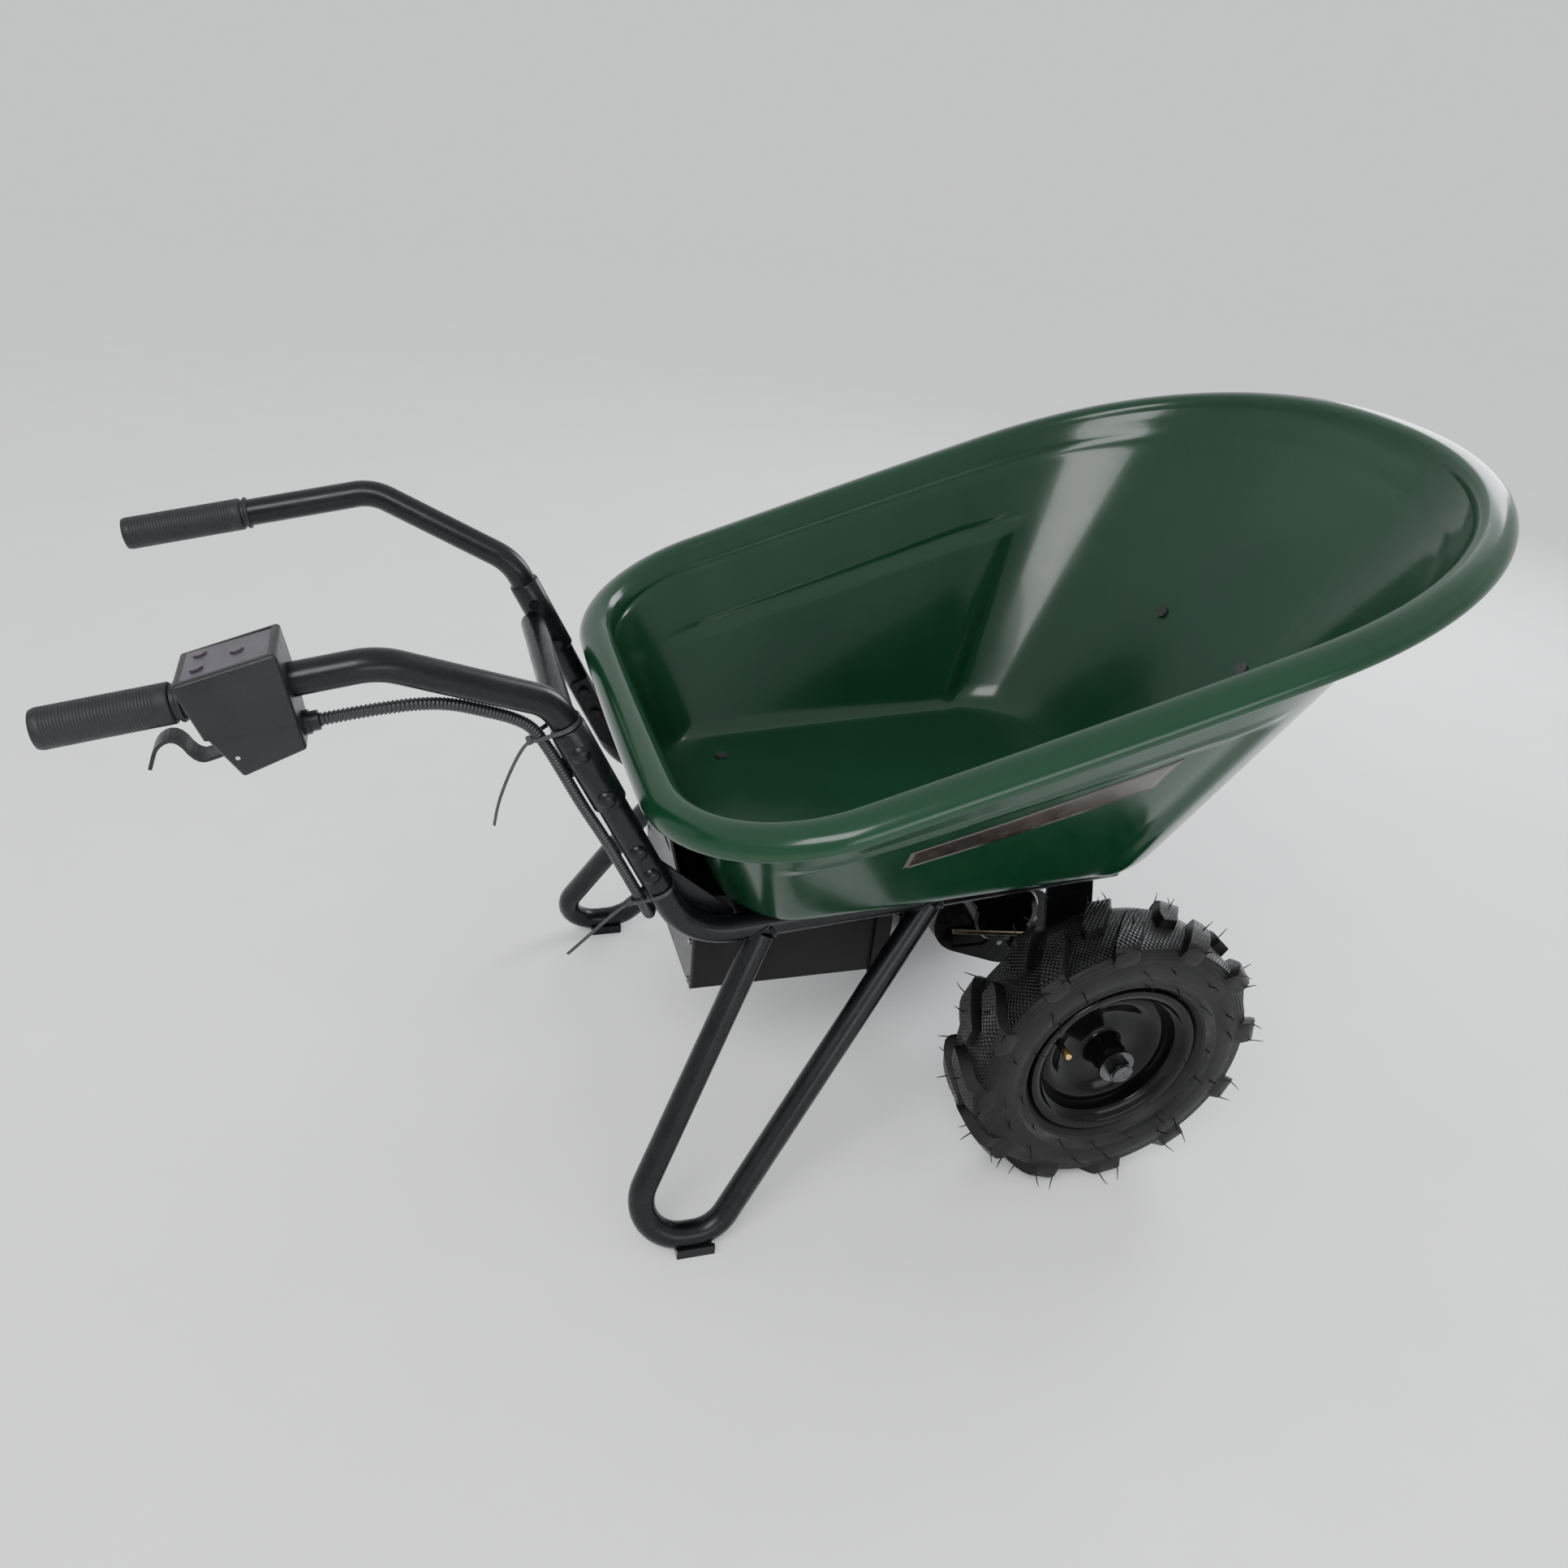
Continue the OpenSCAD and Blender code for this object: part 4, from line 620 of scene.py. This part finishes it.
def make_sleeve(name, side):
    a, b = rail_at(side, SLEEVE[0]), rail_at(side, SLEEVE[1])
    r = TUBE_R + 0.003
    # Place and radius; places past a half count back from the lower end, which is 1
    stations = [(0, r - 0.0028), (0.0008, r - 0.0008), (0.0022, r),
                (1 - 0.0022, r), (1 - 0.0008, r - 0.0008), (1, r - 0.0028)]
    length = (b - a).length
    path = [a + DOWN * (t if t < 0.5 else length - (1 - t)) for t, _ in stations]
    v, f = tube_mesh(path, [q for _, q in stations], 36)
    return piece(name, v, f, M_STEEL, sharp=60)


sleeves = mirrored(make_sleeve, "sleeve")
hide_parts("joint_sleeves")


def make_crossbar():
    mid = rail_at(0, (SLEEVE[0] + SLEEVE[1]) / 2) - Vector((0.012, 0, 0.006))
    half = RAIL_Y - 0.014
    path = [mid + Vector((0, y, 0)) for y in (-half, -half / 3, half / 3, half)]
    v, f = tube_mesh(path, [TUBE_R] * 4)
    piece("cross_tube", v, f, M_STEEL, stands_for=["crossbar"])


make_crossbar()


def bead(points, r, seed):
    """A weld bead: a lumpy closed ring of small overlapping ridges."""
    rnd = random.Random(seed)
    n = len(points)
    ring = []
    m = 10
    for i, p in enumerate(points):
        t = (points[(i + 1) % n] - points[i - 1]).normalized()
        u = t.orthogonal().normalized()
        v = t.cross(u)
        q = r * (0.85 + 0.3 * abs(sin(i * 1.3)) + 0.1 * rnd.random())
        ring.append([p + (u * cos(2 * pi * k / m) + v * sin(2 * pi * k / m)) * q for k in range(m)])
    verts = [p for s in ring for p in s]
    faces = [(i * m + k, i * m + (k + 1) % m, ((i + 1) % n) * m + (k + 1) % m, ((i + 1) % n) * m + k)
             for i in range(n) for k in range(m)]
    return verts, faces


def make_welds(name, side):
    parts = []
    leg_r = TUBE_R + 0.0004
    count = 44
    for j, (x_rail, x_foot) in enumerate(LEGS):
        top = at(x_rail, side * rail_y(x_rail), rail_z(x_rail))
        d = (at(x_foot, side * FOOT_Y, TUBE_R) - top).normalized()
        u = d.orthogonal().normalized()
        v = d.cross(u)
        ring = []
        for k in range(count):
            base = (u * cos(2 * pi * k / count) + v * sin(2 * pi * k / count)) * leg_r
            # How far along the leg this side of it meets the rail
            a2 = d.y ** 2 + d.z ** 2
            b2 = base.y * d.y + base.z * d.z
            c2 = base.y ** 2 + base.z ** 2 - leg_r ** 2
            reach = (-b2 + math.sqrt(max(b2 * b2 - a2 * c2, 0))) / a2
            ring.append(top + base + d * reach)
        parts.append(bead(ring, 0.0020, 11 + j))
    v, f = join(parts)
    return piece(name, v, f, M_STEEL)


mirrored(make_welds, "leg_welds")

# ---- grips -------------------------------------------------------------------------------------


def make_grip(name, side):
    length = 0.124 if side < 0 else 0.145
    d = Vector((1, 0, GRIP_RISE)).normalized()
    start = at(GRIP_END[0], side * GRIP_Y, GRIP_END[1])
    r = 0.019
    prof = [(0.0, 0.0), (r - 0.005, 0.0), (r - 0.0012, 0.0012), (r, 0.005)]
    ribs = 34
    for k in range(ribs):
        h = 0.010 + (length - 0.030) * k / ribs
        prof += [(r, h), (r - 0.0004, h + 0.0008), (r, h + 0.0016)]
    prof += [(r, length - 0.010), (r - 0.0008, length - 0.0085), (r - 0.0026, length - 0.008),
             (r - 0.0026, length - 0.005), (r - 0.0008, length - 0.0045), (r, length - 0.003),
             (r - 0.0008, length - 0.0005), (TUBE_R + 0.0001, length)]
    v, f = lathe(prof, start, d, 56, closed=False)
    return piece(name, v, f, M_GRIP, stands_for=[name.replace("_rubber", "")], sharp=50)


mirrored(make_grip, "grip_rubber")

# ---- conduit and ties --------------------------------------------------------------------------

CONDUIT_R = 0.0065
ROUTE = [at(x / 1000, y / 1000, z / 1000) for x, y, z in (
    (-303.2, -252, 694.8), (-287.4, -252, 697.6), (-262, -251, 701), (-238, -249, 703), (-210, -242, 702),
    (-180, -231, 695), (-150, -221, 681), (-122, -209, 666), (-101, -203, 651), (-86, -200, 626),
    (-67, -200, 588), (-48, -200, 550), (-24, -200, 508), (-4, -200, 468), (12, -200, 436), (22, -196, 414),
    (29, -186, 396), (35, -168, 382), (40, -147, 377), (46, -130, 377), (56.5, -125, 379.3), (72, -125, 383))]


def resample(path, step):
    """Points a step apart along a path."""
    out, carry = [path[0]], 0.0
    for a, b in zip(path, path[1:]):
        seg = (b - a).length
        t = step - carry
        while t <= seg:
            out.append(a.lerp(b, t / seg))
            t += step
        carry = seg - (t - step)
    return out


def make_conduit():
    pitch = 0.0040
    path = resample(smooth_path(ROUTE), pitch / 6)
    wave = [1.0, 0.97, 0.84, 0.80, 0.84, 0.97]
    radii = [CONDUIT_R * wave[i % 6] for i in range(len(path))]
    v, f = tube_mesh(path, radii, 20)
    piece("conduit_hose", v, f, M_FLEX, stands_for=["conduit"], sharp=60)


make_conduit()


def ribbon_mesh(path, width_dir, width, thick):
    """A flat strap along a path, width across width_dir."""
    verts = []
    for i, p in enumerate(path):
        t = (path[min(i + 1, len(path) - 1)] - path[max(i - 1, 0)]).normalized()
        w = width_dir.normalized() * width / 2
        n = t.cross(width_dir).normalized() * thick / 2
        verts += [p - w - n, p + w - n, p + w + n, p - w + n]
    faces = grid_faces(len(path), 4)
    faces.append((3, 2, 1, 0))
    faces.append(tuple(len(verts) - 4 + k for k in range(4)))
    return verts, faces


def make_ties():
    parts = []
    for t, off, tail in ((0.026, 0.0273, ((0, -2, 0), (-9, -5, -8), (-21, -7, -32), (-33, -9, -64), (-38, -9, -92))),
                         (0.2625, 0.0245, ((0, -2, 0), (-16, -4, -8), (-42, -7, -31), (-70, -7, -58)))):
        c = rail_at(-1, t)
        y = Vector((0, 1, 0))
        outline = []
        count = 48
        for k in range(count):
            a = 2 * pi * k / count
            e = OUTWARD * cos(a) + y * sin(a)
            far = -OUTWARD * off
            reach = max(TUBE_R + 0.0010, far.dot(e) + CONDUIT_R + 0.0026)
            outline.append(c + e * reach if reach <= TUBE_R + 0.0011 else c + far + e * (CONDUIT_R + 0.0026))
        ring = outline + outline[:1]
        band = []
        for p in ring:
            out = (p - c).normalized() * 0.0011
            band += [p - DOWN * 0.0025, p + DOWN * 0.0025, p + DOWN * 0.0025 + out, p - DOWN * 0.0025 + out]
        parts.append((band, grid_faces(len(ring), 4)))
        head = c - OUTWARD * (off + CONDUIT_R + 0.0055)
        box = [head + OUTWARD * sx * 0.0028 + y * sy * 0.0037 + DOWN * sz * 0.0036
               for sx in (-1, 1) for sy in (-1, 1) for sz in (-1, 1)]
        parts.append((box, [(0, 1, 3, 2), (4, 6, 7, 5), (0, 4, 5, 1), (2, 3, 7, 6), (0, 2, 6, 4), (1, 5, 7, 3)]))
        line = [head + Vector(p) * 0.001 for p in tail]
        parts.append(ribbon_mesh(smooth_path(line), Vector((0.8, 0, -0.6)), 0.0036, 0.0015))
    v, f = join(parts)
    piece("tie_straps", v, f, M_BLUED, stands_for=["cable_ties"])


make_ties()

# ---- wheels ------------------------------------------------------------------------------------

LUGS = 12
CARCASS = TYRE_R - 0.014


TYRE_INSIDE = ((0.1060, 0.0290), (0.1120, 0.0250), (0.1300, 0.0370), (0.1550, 0.0410), (0.1720, 0.0320),
               (0.1760, 0.0))
INSIDE_N = 2 * len(TYRE_INSIDE) - 1
TREAD_FROM = 0.1785         # radius past which the carcass has the diamond cut
RIBBED = (0.1235, 0.1340)   # radii of the side wall's ribbed band


def tyre_profile():
    """Outside of the carcass from bead to bead, then back along the inside."""
    half = [(0.112, 0.0312), (0.1135, 0.0335), (0.1150, 0.0365), (0.1180, 0.0392), (0.1200, 0.0418), (0.1215, 0.0420),
            (0.1230, 0.0434), (0.1290, 0.0462), (0.1345, 0.0476), (0.1360, 0.0474), (0.1375, 0.0481),
            (0.1440, 0.0489),
            (0.1520, 0.0490), (0.1600, 0.0484), (0.1615, 0.0476), (0.1630, 0.0478), (0.1650, 0.0472),
            (0.1662, 0.0462),
            (0.1678, 0.0466), (0.1698, 0.0456), (0.1710, 0.0445), (0.1726, 0.0448), (0.1745, 0.0434),
            (0.1757, 0.0418),
            (0.1772, 0.0420), (0.1800, 0.0370), (0.1822, 0.0310), (0.1835, 0.0210), (0.1840, 0.0100)]
    outside = [(r, -h) for r, h in half] + [(CARCASS, 0.0)] + [(r, h) for r, h in reversed(half)]
    return outside + list(TYRE_INSIDE) + [(r, -h) for r, h in reversed(TYRE_INSIDE[:-1])]


def unroll(obj, uvs, around=0.0):
    """Lays the unrolled tread on a mesh; around is the length of one turn where it closes on itself."""
    layer = obj.data.uv_layers.new(name="tread")
    for face in obj.data.polygons:
        us = [uvs[obj.data.loops[k].vertex_index][0] for k in face.loop_indices]
        for k, u in zip(face.loop_indices, us):
            if around and max(us) - u > around / 2:
                u += around
            layer.data[k].uv = (u, uvs[obj.data.loops[k].vertex_index][1])


def make_carcass(name, centre, out, stands_for):
    profile = tyre_profile()
    count = 144
    verts, faces = lathe(profile, centre, out, count)
    marks = []
    for face in faces:
        r = sum(profile[i % len(profile)][0] for i in face) / 4
        outside = all(i % len(profile) < len(profile) - INSIDE_N for i in face)
        ribbed = outside and RIBBED[0] < r < RIBBED[1]
        marks.append(1 if outside and r > TREAD_FROM else 2 if ribbed else 0)
    around = 2 * pi * TYRE_R
    uvs = [(around * (i // len(profile)) / count, profile[i % len(profile)][1]) for i in range(len(verts))]
    obj = piece(name, verts, faces, M_TYRE, body="wheels", stands_for=stands_for, sharp=40,
                mats=[M_KNURL, M_RIBBED], face_mats=marks)
    unroll(obj, uvs, around)
    return obj


# Stations along a lug: across the tyre, top radius, foot radius, slant round the tyre, half width
LUG_LINE = ((-0.010, 0.1972, 0.1810, -0.0050, 0.0105), (-0.003, 0.1978, 0.1810, -0.0020, 0.0130),
            (0.006, 0.1979, 0.1810, 0.0030, 0.0148), (0.017, 0.1979, 0.1800, 0.0110, 0.0158),
            (0.028, 0.1972, 0.1785, 0.0200, 0.0164), (0.037, 0.1952, 0.1745, 0.0270, 0.0168),
            (0.0445, 0.1908, 0.1690, 0.0310, 0.0170), (0.0490, 0.1830, 0.1620, 0.0325, 0.0166),
            (0.0497, 0.1700, 0.1560, 0.0325, 0.0125))


def lug_turn(row, k):
    return 2 * pi * (k + (0.5 if row > 0 else 0)) / LUGS


def make_lugs(name, side, centre):
    """Slanted tread blocks, left and right rows half a pitch apart, with a diamond cut on top."""
    verts, faces, marks, uvs = [], [], [], []
    for row in (-1, 1):
        for k in range(LUGS):
            base = len(verts)
            for across, top, foot, slant, half in LUG_LINE:
                for r, w in ((foot, half * 1.32), (top - 0.0010, half), (top, half - 0.0012)):
                    for e in (-1, 1):
                        a = lug_turn(row, k) + row * side * (slant + e * w) / TYRE_R
                        y = across if r > foot else across - (0.004 if across > 0.04 else 0)
                        verts.append(centre + Vector((cos(a) * r, row * y, sin(a) * r)))
                        uvs.append((slant + e * w, across if across < 0.044 else across + (0.19 - r)))
            n, m = len(LUG_LINE), 6         # stations, and points at each
            for j in range(n - 1):
                p, q = base + j * m, base + (j + 1) * m
                for a, b, knurl in ((0, 2, 0), (2, 4, 0), (4, 5, 1 if j < n - 3 else 0), (5, 3, 0), (3, 1, 0), (1, 0, 0)):
                    faces.append((p + a, p + b, q + b, q + a))
                    marks.append(knurl)
            for p in (base, base + (n - 1) * m):
                faces.append((p, p + 2, p + 4, p + 5, p + 3, p + 1))
                marks.append(0)
    obj = piece(name, verts, faces, M_TYRE, body="wheels", sharp=28, mats=[M_KNURL],
                face_mats=marks)
    unroll(obj, uvs)
    return obj


def make_whiskers(name, side, centre):
    """Moulding hairs left on the new tyre: a pair on each lug's outer end, and rings on the sidewalls."""
    rnd = random.Random(5 + side)
    spots = []
    for row in (-1, 1):
        for k in range(LUGS):
            for e in (-1, 1):
                a = lug_turn(row, k) + row * side * (0.0322 + e * 0.0145) / TYRE_R
                spots.append((row, a, 0.0485, 0.184, 0.75, e * 0.45))
            a = lug_turn(row, k) + row * side * 0.011 / TYRE_R
            spots.append((row, a, 0.0180, 0.1975, 1.0, rnd.uniform(-0.4, 0.4)))
        for count, y, r in ((14, 0.0440, 0.126), (16, 0.0485, 0.150)):
            spots += [(row, 2 * pi * (k + rnd.uniform(0, 0.6)) / count, y, r, rnd.uniform(-0.3, 0.3),
                       rnd.uniform(-0.5, 0.5)) for k in range(count)]
    parts = []
    for row, a, y, r, rise, drift in spots:
        radial = Vector((cos(a), 0, sin(a)))
        sideways = Vector((0, row, 0))
        root = centre + radial * r + sideways * y
        lean = radial * (rise + rnd.uniform(-0.15, 0.15)) + radial.cross(sideways) * drift
        lean += sideways * (0.25 if r > 0.19 else 0.85)
        length = rnd.uniform(0.012, 0.019)
        tip = root + lean.normalized() * length
        if tip.z < 0.003:
            continue
        bent = root.lerp(tip, 0.5) + radial * 0.0012
        parts.append(tube_mesh([root, bent, tip], [0.0010, 0.0008, 0.0005], 6))
    v, f = join(parts)
    return piece(name, v, f, M_TYRE, body="wheels")


def rim_profile():
    """Section of the pressed rim, outboard positive: flanges, well, dished disc and hub."""
    disc = 0.004
    return [(0.0122, -0.052), (0.022, -0.052), (0.022, disc - 0.006), (0.050, disc - 0.006), (0.058, disc - 0.004),
            (0.066, disc + 0.002), (0.074, disc + 0.006), (0.080, disc + 0.005), (0.086, disc),
            (0.0865, -0.026), (0.0885, -0.0285), (0.094, -0.0305), (0.0965, -0.032), (0.0980, -0.036),
            (0.1020, -0.0372), (0.1085, -0.0372), (0.1110, -0.0355), (0.1115, -0.0325), (0.1100, -0.0312),
            (0.1020, -0.0310), (0.1018, -0.018), (0.0925, -0.012), (0.0920, 0.012), (0.1018, 0.018), (0.1020, 0.0310),
            (0.1100, 0.0312), (0.1115, 0.0325), (0.1115, 0.0355), (0.1095, 0.0378), (0.1050, 0.0380),
            (0.1000, 0.0372),
            (0.0975, 0.0350), (0.0955, 0.0315), (0.0925, 0.0300), (0.0900, 0.0285), (0.0885, 0.0250),
            (0.0880, disc + 0.012),
            (0.0865, disc + 0.0095), (0.0820, disc + 0.0105), (0.0765, disc + 0.0120), (0.0720, disc + 0.0110),
            (0.0640, disc + 0.0060), (0.0560, disc + 0.0015), (0.0500, disc), (0.0300, disc), (0.0260, disc + 0.0010),
            (0.0235, disc + 0.0040), (0.0222, disc + 0.0080), (0.0220, 0.0335), (0.0122, 0.0340)]


def make_wheel(prefix, side):
    centre = Vector((AXLE.x, side * WHEEL_Y, AXLE.z))
    out = Vector((0, side, 0))
    make_carcass(prefix + "tyre_carcass", centre, out, [prefix + "tyre"])
    make_lugs(prefix + "tyre_lugs", side, centre)
    make_whiskers(prefix + "tyre_whiskers", side, centre)
    v, f = lathe(rim_profile(), centre, out, 128)
    piece(prefix + "rim_steel", v, f, M_GLOSS, body="wheels", stands_for=[prefix + "rim"],
          sharp=42)


for prefix, side in SIDES:
    make_wheel(prefix, side)


def make_valve(name, side):
    """Rubber valve stem with its cap, standing out of the rim's disc."""
    a, rubber = radians(158), 4     # place round the rim, and points of the profile that are rubber
    root = AXLE + Vector((cos(a) * 0.080, side * (WHEEL_Y + 0.015), sin(a) * 0.080))
    prof = [(0.0, 0.0), (0.0062, 0.0), (0.0060, 0.004), (0.0042, 0.008), (0.0038, 0.022), (0.0046, 0.0225),
            (0.0046, 0.033), (0.0036, 0.0345), (0.0, 0.0347)]
    verts, faces = lathe(prof, root, Vector((0, side, 0)), 24, closed=False)
    marks = [1 if all(i % len(prof) >= rubber for i in f) else 0 for f in faces]
    return piece(name, verts, faces, M_TYRE, body="wheels", mats=[M_BRASS], face_mats=marks)


valves = mirrored(make_valve, "valve")
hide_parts("valve_stems")

# ---- carried-over nodes ------------------------------------------------------------------------

CARRIED = {
    M_STEEL: "handle_bolts gusset_bolts gussets floor_strap front_crossbar front_braces feet box_straps axle_brackets",
    M_CAST: "gear_case gear_case_cover oval_cover axle_housings",
    M_GLOSS: "motor_casing",
    M_BOX: "battery_box box_front_flange",
    M_PLATE: "box_rear_plate",
    M_CASE: "control_top control_base throttle_paddle charger_socket batteries conduit_glands",
    M_PANEL: "keypad_panel",
    M_KEY: "power_button forward_button reverse_button",
    M_BOARD: "keypad_board",
    M_BLUED: "tub_bolts bracket_bolts",
    M_ZINC: "box_screws case_screws motor_magnets motor_controller",
    M_OILED: "drive_axle axle_nuts",
    M_BRIGHT: "axle_bearings throttle_pin first_gear",
    M_COPPER: "motor_rotor",
    M_YELLOW: "brake_rod",
}
EDGED = {"battery_box": 0.0012, "box_front_flange": 0.0012, "box_rear_plate": 0.0006, "feet": 0.0012,
         "front_braces": 0.0008, "front_crossbar": 0.0015, "gussets": 0.0008, "floor_strap": 0.0008,
         "axle_nuts": 0.0006, "gear_case": 0.0012, "gear_case_cover": 0.0010, "oval_cover": 0.0008,
         "axle_brackets": 0.0010, "throttle_paddle": 0.0005, "box_straps": 0.0008, "keypad_panel": 0.0003}
for mat, names in CARRIED.items():
    for node in names.split():
        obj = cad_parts[node]
        for s in obj.material_slots:
            s.material = mat
        if node in EDGED:
            b = obj.modifiers.new("edge", "BEVEL")
            b.width = EDGED[node]
            b.segments = 2
            b.limit_method = "ANGLE"
            b.angle_limit = radians(40)

# ---- floor, light, camera ----------------------------------------------------------------------

floor_mat = coated("studio_floor", (0.86, 0.86, 0.86), (0.89, 0.89, 0.89), (0.7, 0.8), 200, 0.00002)
FLAT, CURVE, TOP = 8.0, 5.0, 8.0    # reach of the flat floor, radius of its upturn, height of the backdrop
sweep = [(0.001, 0.0), (2.0, 0.0), (5.0, 0.0), (FLAT, 0.0)]
sweep += [(FLAT + CURVE * sin(pi / 2 * k / 12), CURVE - CURVE * cos(pi / 2 * k / 12)) for k in range(1, 13)]
sweep += [(FLAT + CURVE, TOP)]
verts, faces = lathe(sweep, Vector((0, 0, 0)), Vector((0, 0, 1)), 72, closed=False)
mesh = bpy.data.meshes.new("studio_floor")
mesh.from_pydata([tuple(v) for v in verts], [], faces)
mesh.materials.append(floor_mat)
mesh.shade_smooth()
ground = bpy.data.objects.new("studio_floor", mesh)
bpy.context.scene.collection.objects.link(ground)

world = bpy.data.worlds.new("studio")
bpy.context.scene.world = world
world.use_nodes = True
world.node_tree.nodes["Background"].inputs["Color"].default_value = (0.97, 0.985, 1.0, 1)
world.node_tree.nodes["Background"].inputs["Strength"].default_value = 1.15


def area_light(name, place, aim, size, power, colour=(1, 1, 1)):
    data = bpy.data.lights.new(name, "AREA")
    data.shape = "RECTANGLE"
    data.size, data.size_y = size
    data.energy = power
    data.color = colour
    lamp = bpy.data.objects.new(name, data)
    lamp.location = place
    lamp.rotation_euler = (Vector(aim) - Vector(place)).to_track_quat("-Z", "Y").to_euler()
    bpy.context.scene.collection.objects.link(lamp)


area_light("key", (-1.6, -2.2, 3.2), (0, 0, 0.4), (2.0, 1.2), 85)
area_light("window", (2.6, 1.6, 1.9), (0.3, 0, 0.6), (1.2, 1.6), 60, (0.92, 0.96, 1.0))
area_light("fill", (0.6, -3.2, 1.0), (0.2, 0, 0.3), (2.4, 1.0), 28)

TARGET = Vector((REAR + 0.2060, 0.0597, 0.4302))
AZIMUTH, ELEVATION, ROLL = radians(-17.2447), radians(29.2051), radians(4.7741)
DISTANCE = 1.6594
LENS, SENSOR, SHIFT = 28.896, 36, (0.02456, -0.00865)
back = Vector((sin(AZIMUTH) * cos(ELEVATION), -cos(AZIMUTH) * cos(ELEVATION), sin(ELEVATION)))
right = (-back).cross(Vector((0, 0, 1))).normalized()
up = right.cross(-back)
turned_right = right * cos(ROLL) + up * sin(ROLL)
turned_up = up * cos(ROLL) - right * sin(ROLL)
camera = bpy.data.objects.new("camera", bpy.data.cameras.new("camera"))
camera.data.sensor_width = SENSOR
camera.data.lens = LENS
camera.data.shift_x, camera.data.shift_y = SHIFT
axes = Matrix((turned_right, turned_up, back)).transposed().to_4x4()
camera.matrix_world = Matrix.Translation(TARGET + back * DISTANCE) @ axes
bpy.context.scene.collection.objects.link(camera)
bpy.context.scene.camera = camera
